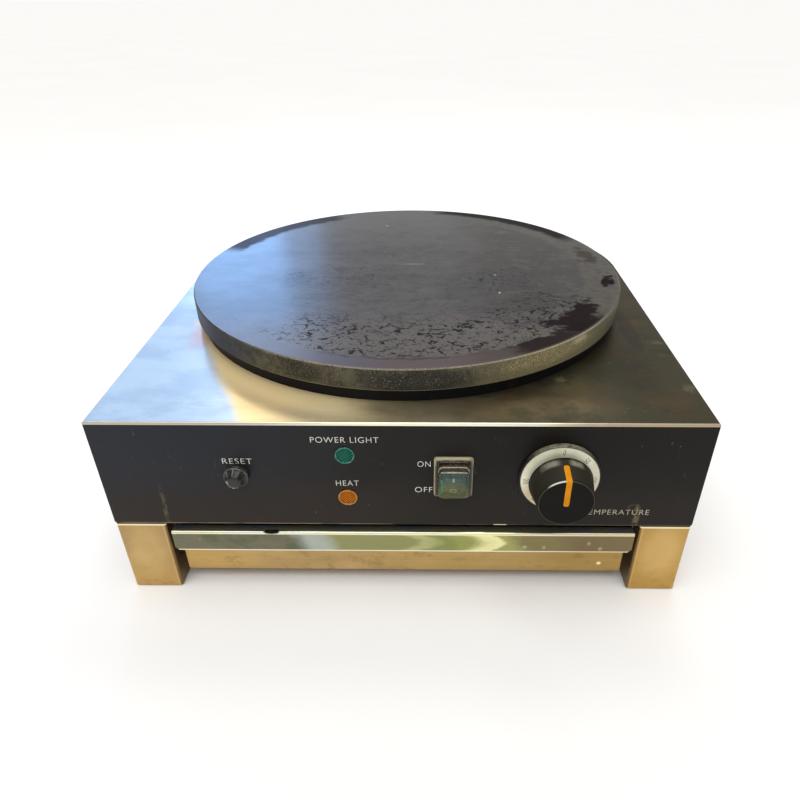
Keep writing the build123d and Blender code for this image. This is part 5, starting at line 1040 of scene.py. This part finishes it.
def pan_screws(name, material, seats):
    """Pan heads with a cross recess. seats holds (point on the sheet, outward direction)."""
    points = bpy.data.meshes.new(name + "_seats")
    points.from_pydata([seat for seat, _ in seats], [], [])
    aims = points.attributes.new("aim", "FLOAT_VECTOR", "POINT")
    for row, (_, aim) in zip(aims.data, seats):
        row.vector = aim
    g = Grower(name, Material=material, Radius=SCREW_HEAD_R, Height=SCREW_HEAD_H,
               Shank_Radius=SCREW_SHANK_R, Shank_Length=SCREW_SHANK_L,
               Cross_Width=CROSS_W, Cross_Length=CROSS_L, Cross_Depth=CROSS_DEEP)
    raise_it = g.vector(0.0, 0.0, g["Height"])
    ball = g.node("GeometryNodeMeshUVSphere", {}, {"Segments": 32, "Rings": 16, "Radius": 1.0}, "Mesh")
    broad = g.math("MULTIPLY", g["Radius"], SCREW_BULGE)
    squat = g.moved(ball, Scale=g.vector(broad, broad, g["Height"]))
    drum = g.drum(32, g["Radius"], g.math("MULTIPLY", g["Height"], 2.0))
    head = g.node("GeometryNodeMeshBoolean", {"operation": "INTERSECT"}, {
        "Mesh 2": [squat, g.moved(drum, Translation=raise_it)]}, "Mesh")
    bars = []
    for first, second in (("Cross_Width", "Cross_Length"), ("Cross_Length", "Cross_Width")):
        bar = g.node("GeometryNodeMeshCube", {}, {"Size": g.vector(
            g[first], g[second], g.math("MULTIPLY", g["Cross_Depth"], 2.0))}, "Mesh")
        bars.append(g.moved(bar, Translation=raise_it))
    cut = g.node("GeometryNodeMeshBoolean", {"operation": "DIFFERENCE"}, {
        "Mesh 1": head, "Mesh 2": bars}, "Mesh")
    shank = g.drum(20, g["Shank_Radius"], g["Shank_Length"])
    sink = g.vector(0.0, 0.0, g.math("MULTIPLY", g["Shank_Length"], -0.5))
    screw = g.node("GeometryNodeJoinGeometry", {}, {
        "Geometry": [cut, g.moved(shank, Translation=sink)]})
    aim = g.node("GeometryNodeInputNamedAttribute", {"data_type": "FLOAT_VECTOR"}, {"Name": "aim"})
    return g.grow(name, g.copies(g["Points"], screw, Rotation=g.aimed("Z", aim)), points)


# ---------------------------------------------------------------- print
PRINT_PROUD = 0.08 * MM
PRINT_EXTRUDE = 0.02            # on each side of the curve, of the letters' size
PRINT_THINNED = -0.012          # of the letters' size
PRINT_SPACING = 1.12
PRINT_CAP = 4.9 * MM


def lettering(name, words, material):
    """Flat print in one mesh. words holds (text, place matrix, cap height, width)."""
    whole = bmesh.new()
    for text, place, cap, width in words:
        curve = bpy.data.curves.new(name, "FONT")
        curve.body = text
        curve.align_x = curve.align_y = "CENTER"
        curve.extrude, curve.offset = PRINT_EXTRUDE, PRINT_THINNED
        curve.space_character = PRINT_SPACING
        host = added(name, curve)
        mesh = finished(host)
        bpy.data.objects.remove(host)
        low = Vector([min(v.co[axis] for v in mesh.vertices) for axis in (0, 1)])
        high = Vector([max(v.co[axis] for v in mesh.vertices) for axis in (0, 1)])
        spread, centre = high - low, (high + low) / 2
        size = Matrix.Diagonal((width / spread.x, cap / spread.y, PRINT_PROUD / (2 * PRINT_EXTRUDE), 1))
        mesh.transform(place @ size @ Matrix.Translation((-centre.x, -centre.y, 0)))
        whole.from_mesh(mesh)
    made = bpy.data.meshes.new(name)
    whole.to_mesh(made)
    whole.free()
    made.materials.append(material)
    return made


def facing_front(x, y, z, turn=0.0):
    """A place on a surface that faces the front, for print that reads from the front."""
    return (Matrix.Translation((x, y, z)) @ Matrix.Rotation(radians(90), 4, "X")
            @ Matrix.Rotation(turn, 4, "Z"))


PANEL_WORDS = (                 # word, middle across and up, width, all in mm
    ("RESET", -119.8, 131.9, 21.9), ("POWER LIGHT", -39.9, 151.4, 49.0), ("HEAT", -40.1, 111.8, 17.0),
    ("ON", 17.2, 130.0, 9.6), ("OFF", 17.0, 105.9, 13.0))
WORN_WORDS = (("TEMPERATURE", 164.0, 84.5, 51.0),)


def panel_print():
    for name, ink, words in (
            ("panel_lettering", ("panel_ink", (232, 231, 222), (206, 204, 192)), PANEL_WORDS),
            ("knob_lettering", ("worn_ink", (196, 190, 168), (160, 152, 130)), WORN_WORDS)):
        placed = [(text, facing_front(x * MM, PANEL_Y, z * MM), PRINT_CAP, width * MM)
                  for text, x, z, width in words]
        new_piece(name, lettering(name, placed, moulding(*ink, 0.55)), "casing")


DIAL_FIRST_TURN = radians(1.5)      # the 0, seen from the front, clockwise from the top
DIAL_STEP = radians(44)
DIAL_NUMBERS = range(0, 301, 50)
DIAL_DIGIT_H, DIAL_DIGIT_W = 4.5 * MM, 1.75 * MM
DIAL_OUTWARD = 0.8 * MM             # from the middle of the printed ring


def dial_print():
    ink = moulding("dial_ink", (74, 70, 48), (98, 92, 66), 0.6)
    mid_r = (RING_R + RING_BORE_R) / 2 + DIAL_OUTWARD
    words = []
    for step, number in enumerate(map(str, DIAL_NUMBERS)):
        turn = DIAL_FIRST_TURN + step * DIAL_STEP
        place = facing_front(RING_MID.x + mid_r * sin(turn), ring_low.y,
                             RING_MID.z + mid_r * cos(turn), -turn)
        words.append((number, place, DIAL_DIGIT_H, DIAL_DIGIT_W * len(number)))
    new_piece("dial_numbers", lettering("dial_numbers", words, ink), "casing")


# ---------------------------------------------------------------- lamps
LENS_R, LENS_FACE_R, LENS_RIM_T = 7.3 * MM, 6.1 * MM, 1.5 * MM
FACETED_R = LENS_FACE_R - 0.9 * MM
FACET_PITCH, FACET_H, FACET_BASE = 1.25 * MM, 0.6 * MM, 0.8 * MM
# profiles of (radius, reach in front of the panel)
COLLAR_PROFILE = (
    (LENS_FACE_R, 0.0), (LENS_R, 0.0), (LENS_R, 0.9 * MM), (LENS_R - 0.2 * MM, 1.35 * MM),
    (LENS_R - 0.45 * MM, LENS_RIM_T + 0.05 * MM), (LENS_FACE_R, LENS_RIM_T - 0.15 * MM),
    (LENS_FACE_R - 0.2 * MM, 0.6 * MM))
DISC_PROFILE = (
    (LENS_FACE_R - 0.1 * MM, -0.2 * MM), (LENS_FACE_R - 0.1 * MM, 0.9 * MM),
    (FACETED_R, FACET_BASE - 0.1 * MM), (2.5 * MM, FACET_BASE), (0.6 * MM, FACET_BASE))


def lamp(name, node, colours):
    """A lamp's lens: a clear rounded collar round a field of small pyramids."""
    low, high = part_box(node)
    middle = (low + high) / 2
    middle.y = PANEL_Y
    body = lens_plastic(name + "_plastic", *colours)
    lens = new_piece(name, lathe(name, middle, DISC_PROFILE), "casing", body)
    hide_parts(node)
    collar = lathe(name + "_collar", middle, COLLAR_PROFILE, hollow=True)
    new_piece(name + "_collar", collar, "casing", clear_rim(name + "_rim", colours[1]))
    front = middle - Vector((0, FACET_BASE, 0))
    facets = facet_field(name + "_facets", front, body, FACETED_R, FACET_PITCH, FACET_H)
    new_piece(name + "_facets", facets, "casing")


# ---------------------------------------------------------------- switch
BOOT_REACH = PANEL_Y - boot_low.y
BOOT_CRESTS = (3.2 * MM, (3.2 * MM + BOOT_REACH) / 2, BOOT_REACH)
BOOT_CORNERS = (3.0 * MM, 3.8 * MM, 3.8 * MM)
BOOT_STEP_W, BOOT_STEP_H = 0.6 * MM, 2.8 * MM
BOOT_WALL, BOOT_FOOT = 0.7 * MM, 0.2 * MM
BOOT_VALLEY = 1.1 * MM          # from a crest back to the fold in front of it
# sections of the folds: how far back, how far inwards and how much tighter at the corners, in mm
FOOT = ((0, 0, 0),)
RISE = ((0, 0.5, 0.6), (-0.5, 0.1, 0.2))
CREST = ((1.2, 0, 0), (0.5, 0.12, 0), (0.12, 0.45, 0.2))
TUCK = ((0, 0.9, 0.4), (0.35, 1.3, 0.6))
WINDOW = ((0, 1.0, 0.7), (0, 2.2, 1.5))


def splash_boot():
    """The folded clear cover over the rocker, with a flat window in front."""
    width, height = boot_high.x - boot_low.x, boot_high.z - boot_low.z
    rings = []

    def fold(out, inset_w, inset_h, corner, section):
        for back, inset, tighter in section:
            rings.append(rounded_ring(
                SWITCH_MID, PANEL_Y - (out - back * MM), width - 2 * (inset_w + inset * MM),
                height - 2 * (inset_h + inset * MM), corner - tighter * MM))

    before = None
    for step, (crest, corner) in enumerate(zip(BOOT_CRESTS, BOOT_CORNERS)):
        shape = (step * BOOT_STEP_W / 2, step * BOOT_STEP_H / 2, corner)
        if before:
            fold(before, *shape_before, TUCK)
            fold(before - BOOT_VALLEY, *shape, RISE)
        else:
            fold(BOOT_FOOT, *shape, FOOT)
        fold(crest, *shape, CREST)
        before, shape_before = crest, shape
    fold(before, *shape_before, WINDOW)
    piece = added("splash_boot", shell("splash_boot", rings, close_start=False))
    wall = piece.modifiers.new("wall", "SOLIDIFY")
    wall.thickness, wall.offset = BOOT_WALL, -1
    piece.data = finished(piece)
    piece.data.materials.clear()
    piece.data.materials.append(boot_silicone())
    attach(piece, "casing")
    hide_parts("switch_boot")


PIVOT_DEPTH = 3.0 * MM
ROCKER_TIP = 10.4 * MM          # pivot to the ends of the rocker's face
ROCKER_DISH, ROCKER_HALF_L = 0.8 * MM, 10.0 * MM
ROCKER_TILT = radians(8)
# each mark's place above the pivot, height and width
MARKS = (("I", 2.7 * MM, 4.4 * MM, 1.5 * MM), ("O", -7.9 * MM, 3.6 * MM, 5.0 * MM))


def rocker_marks():
    """The bar and ring that show which way the rocker is set."""
    ink = moulding("rocker_ink", (246, 248, 236), (226, 228, 210), 0.4)
    pivot = Vector((SWITCH_MID.x, PANEL_Y + PIVOT_DEPTH, SWITCH_MID.z))
    tilt = Matrix.Rotation(ROCKER_TILT, 4, "X")
    slope = atan(ROCKER_DISH / ROCKER_HALF_L)
    words = []
    for text, high, cap, width in MARKS:
        side = 1 if high > 0 else -1
        out = ROCKER_TIP - ROCKER_DISH * (1 - abs(high) / ROCKER_HALF_L)
        local = Matrix.Translation((0, -out, high)) @ Matrix.Rotation(side * slope, 4, "X")
        place = Matrix.Translation(pivot) @ tilt @ local @ Matrix.Rotation(radians(90), 4, "X")
        words.append((text, place, cap, width))
    new_piece("rocker_marks", lettering("rocker_marks", words, ink), "power_rocker")


# ---------------------------------------------------------------- small hardware
SIDE_SCREW_DEPTHS = (60 * MM, 290 * MM)     # behind the panel
REAR_SCREW_X = 72 * MM


def casing_screw_heads():
    low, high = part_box("casing_screws")
    steel = moulding("screw_steel", (190, 188, 180), (146, 142, 132), 0.26, 0.5, 0.4, 1.0)
    height = (low.z + high.z) / 2
    seats = [((side * HALF_W, PANEL_Y + depth, height), (side, 0, 0))
             for side in (-1, 1) for depth in SIDE_SCREW_DEPTHS]
    seats += [((side * REAR_SCREW_X, REAR_Y, height), (0, 1, 0)) for side in (-1, 1)]
    mesh = pan_screws("casing_screw_heads", steel, seats)
    piece = new_piece("casing_screw_heads", mesh, "casing")
    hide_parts("casing_screws")


# count of the ribs, then the radius, length, width and height
FLUTES = (18, 10.0 * MM, 11.0 * MM, 1.6 * MM, 0.9 * MM)
KNURL = (30, 8.3 * MM, 2.0 * MM, 1.0 * MM, 1.6 * MM)
FLUTES_BACK, KNURL_OUT = 12.5 * MM, 1.2 * MM    # their middles, from the rear wall and the panel


def gland_flutes():
    middle = (gland_low + gland_high) / 2
    middle.y = REAR_Y + FLUTES_BACK
    nylon = moulding("flute_nylon", (36, 36, 36), (24, 24, 24), 0.42)
    mesh = ribbed_ring("gland_flutes", middle, nylon, *FLUTES)
    new_piece("gland_flutes", mesh, "casing")


def nut_knurl():
    middle = (nut_low + nut_high) / 2
    middle.y = PANEL_Y - KNURL_OUT
    plate = moulding("knurl_plate", (112, 110, 106), (60, 58, 56), 0.3, 0.5, 0.4, 0.7)
    new_piece("nut_knurl", ribbed_ring("nut_knurl", middle, plate, *KNURL), "casing")


CAP_FACETS, CAP_TURN = 9, 0.4   # the turn of the first ridge, as a share of a facet
CAP_FACET_POINTS = 8
CAP_BORE_R, CAP_CROWN_T = 5.5 * MM, 1.5 * MM
CAP_PROFILE = (                 # radius and reach in mm, hollow as a share of the radius
    (6.6, 0.0, 0.0), (6.6, 1.6, 0.0), (8.7, 2.1, 0.0), (9.0, 2.6, 0.0), (8.7, 3.1, 0.02),
    (7.8, 3.9, 0.09), (6.9, 5.6, 0.13), (6.0, 7.8, 0.13), (5.4, 8.6, 0.08), (3.0, 9.0, 0.0))


def faceted_ring(middle, radius, reach, hollow):
    """Points round a many-sided outline, its sides hollowed by a share of its radius."""
    ring = []
    for i in range(CAP_FACETS * CAP_FACET_POINTS):
        across = abs(i % CAP_FACET_POINTS / CAP_FACET_POINTS - 0.5) * 2
        side = radius * (1 - hollow * (1 - across ** 2))
        turn = 2 * pi * (i / CAP_FACET_POINTS + CAP_TURN) / CAP_FACETS
        ring.append((middle.x + side * cos(turn), middle.y - reach, middle.z + side * sin(turn)))
    return ring


def reset_knob():
    """The tapered cap with hollow sides that screws over the limiter's button."""
    low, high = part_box("reset_cap")
    middle = (low + high) / 2
    middle.y = high.y
    crown = high.y - low.y - CAP_CROWN_T
    steps = CAP_FACETS * CAP_FACET_POINTS
    rings = [turned_ring(middle, CAP_BORE_R, reach, steps) for reach in (crown, 0)]
    rings += [faceted_ring(middle, radius * MM, reach * MM, hollow)
              for radius, reach, hollow in CAP_PROFILE]
    piece = new_piece("reset_knob", shell("reset_knob", rings), "limiter_cap",
                      cap_plastic(middle))
    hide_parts("reset_cap")


# ---------------------------------------------------------------- stage, light and camera
FLOOR_REACH = 60.0
FAR_FLOOR = (0.98, 0.975, 0.965)    # what is seen beyond the floor
DAYLIGHT = 2.0
CARD_AWAY = 2.25                    # from the mirrored eye to every lit card
MIRRORED_EYE = Vector((0.020, -0.598, -0.060))     # the operator's eye, mirrored in the griddle


def stage():
    floor_mesh = bpy.data.meshes.new("floor")
    corners = [(x * FLOOR_REACH, y * FLOOR_REACH, 0) for x, y in ((-1, -1), (1, -1), (1, 1), (-1, 1))]
    floor_mesh.from_pydata(corners, [], [(0, 1, 2, 3)])
    f = Finish("floor_paper")
    f.tone = f.mix(f.grade(f.noise(600), 0.3, 0.7), (254, 254, 254), (252, 252, 252))
    floor_mesh.materials.append(f.done(Roughness=0.9, Specular_IOR_Level=0.1))
    floor = added("floor", floor_mesh)


def window_card(name, turns, rises, radiance, colour):
    """A lit card that the griddle and the top sheet mirror: turns and rises are its edges in
    degrees, seen from where the operator's eye is mirrored."""
    turn, rise = radians(sum(turns) / 2), radians(sum(rises) / 2)
    aim = Vector((sin(turn) * cos(rise), cos(turn) * cos(rise), sin(rise)))
    width = 2 * CARD_AWAY * cos(rise) * tan(radians(abs(turns[1] - turns[0]) / 2))
    height = 2 * CARD_AWAY * tan(radians(abs(rises[1] - rises[0]) / 2))
    softbox(name, MIRRORED_EYE + aim * CARD_AWAY, MIRRORED_EYE, (width, height), radiance, colour)


def softbox(name, place, aim, size, radiance, colour):
    """A square area light, unseen itself: radiance is the brightness of its face."""
    data = bpy.data.lights.new(name, "AREA")
    data.shape = "RECTANGLE"
    data.size, data.size_y = size
    data.energy = radiance * pi * size[0] * size[1]
    data.color = colour
    light = added(name, data)
    light.location = place
    light.rotation_euler = (Vector(aim) - Vector(place)).to_track_quat("-Z", "Y").to_euler()
    light.visible_camera = False


# name, edges across in degrees, edges up, radiance, colour
WINDOWS = (
    ("bright_window", (-21.5, -12.9), (12.5, 26.8), 4.1, (0.215, 0.49, 1.0)),
    ("curtain_edge", (-12.9, -9.6), (12.5, 26.8), 1.25, (0.24, 0.50, 1.0)),
    ("side_window", (-42.0, -22.0), (15.0, 36.0), 0.80, (0.50, 0.74, 1.0)),
    ("warm_wall", (-22.5, -11.0), (28.0, 42.0), 1.3, (1.0, 0.93, 0.76)))
DAY_COLOUR, DAY_AIM, DAY_SPREAD = (1.0, 0.99, 0.97), Vector((0.10, 0.28, -1.0)), radians(60)
REAR_PLACE, REAR_AIM = (0.4, 0.8, 1.9), (0, -0.1, 0.1)
SOFT_SKY = (0.40, 0.39, 0.38)


def lights():
    for window in WINDOWS:
        window_card(*window)
    softbox("rear_overhead", REAR_PLACE, REAR_AIM, (0.9, 0.5), 4.0, (1.0, 0.98, 0.94))
    day = bpy.data.lights.new("daylight", "SUN")
    day.energy, day.angle, day.color = DAYLIGHT, DAY_SPREAD, DAY_COLOUR
    added("daylight", day).rotation_euler = DAY_AIM.to_track_quat("-Z", "Y").to_euler()
    world = bpy.data.worlds.new("studio")
    scene.world = world
    world.use_nodes = True
    nodes, links = world.node_tree.nodes, world.node_tree.links
    nodes.clear()
    soft, pale = nodes.new("ShaderNodeBackground"), nodes.new("ShaderNodeBackground")
    soft.inputs["Color"].default_value = (*SOFT_SKY, 1)
    pale.inputs["Color"].default_value = (*FAR_FLOOR, 1)
    seen, both = nodes.new("ShaderNodeLightPath"), nodes.new("ShaderNodeMixShader")
    out = nodes.new("ShaderNodeOutputWorld")
    links.new(seen.outputs["Is Camera Ray"], both.inputs[0])
    links.new(soft.outputs[0], both.inputs[1])
    links.new(pale.outputs[0], both.inputs[2])
    links.new(both.outputs[0], out.inputs["Surface"])
    scene.view_settings.view_transform = "Standard"


IMAGE_PX = 800
CAMERA_PLACE = (0.019968, -0.597763, 0.421568)
CAMERA_YAW, CAMERA_DOWN, CAMERA_ROLL = radians(-0.817), radians(32.141), radians(-0.23)
FOCAL_PX = 648.404
CENTRE_PX = (420.177, 400.715)
SENSOR_W = 36.0


def camera():
    data = bpy.data.cameras.new("camera")
    data.sensor_fit, data.sensor_width = "HORIZONTAL", SENSOR_W
    data.lens = FOCAL_PX / IMAGE_PX * SENSOR_W
    data.shift_x = (IMAGE_PX / 2 - CENTRE_PX[0]) / IMAGE_PX
    data.shift_y = (CENTRE_PX[1] - IMAGE_PX / 2) / IMAGE_PX
    data.clip_start, data.clip_end = 0.02, 200
    eye = added("camera", data)
    level = Vector((cos(CAMERA_YAW), -sin(CAMERA_YAW), 0))
    ahead = Vector((sin(CAMERA_YAW) * cos(CAMERA_DOWN), cos(CAMERA_YAW) * cos(CAMERA_DOWN),
                    -sin(CAMERA_DOWN)))
    upright = level.cross(ahead)
    right = cos(CAMERA_ROLL) * level + sin(CAMERA_ROLL) * upright
    up = cos(CAMERA_ROLL) * upright - sin(CAMERA_ROLL) * level
    turn = Matrix((right, up, -ahead)).transposed().to_4x4()
    eye.matrix_world = Matrix.Translation(CAMERA_PLACE) @ turn
    scene.camera = eye


camera()
lights()
stage()
finish_nodes()
panel_print()
dial_print()
lamp("power_lens", "lamp_power_lens", ((2, 60, 48), (36, 158, 130)))
lamp("heat_lens", "lamp_heat_lens", ((140, 66, 0), (255, 160, 4)))
splash_boot()
rocker_marks()
casing_screw_heads()
gland_flutes()
nut_knurl()
reset_knob()
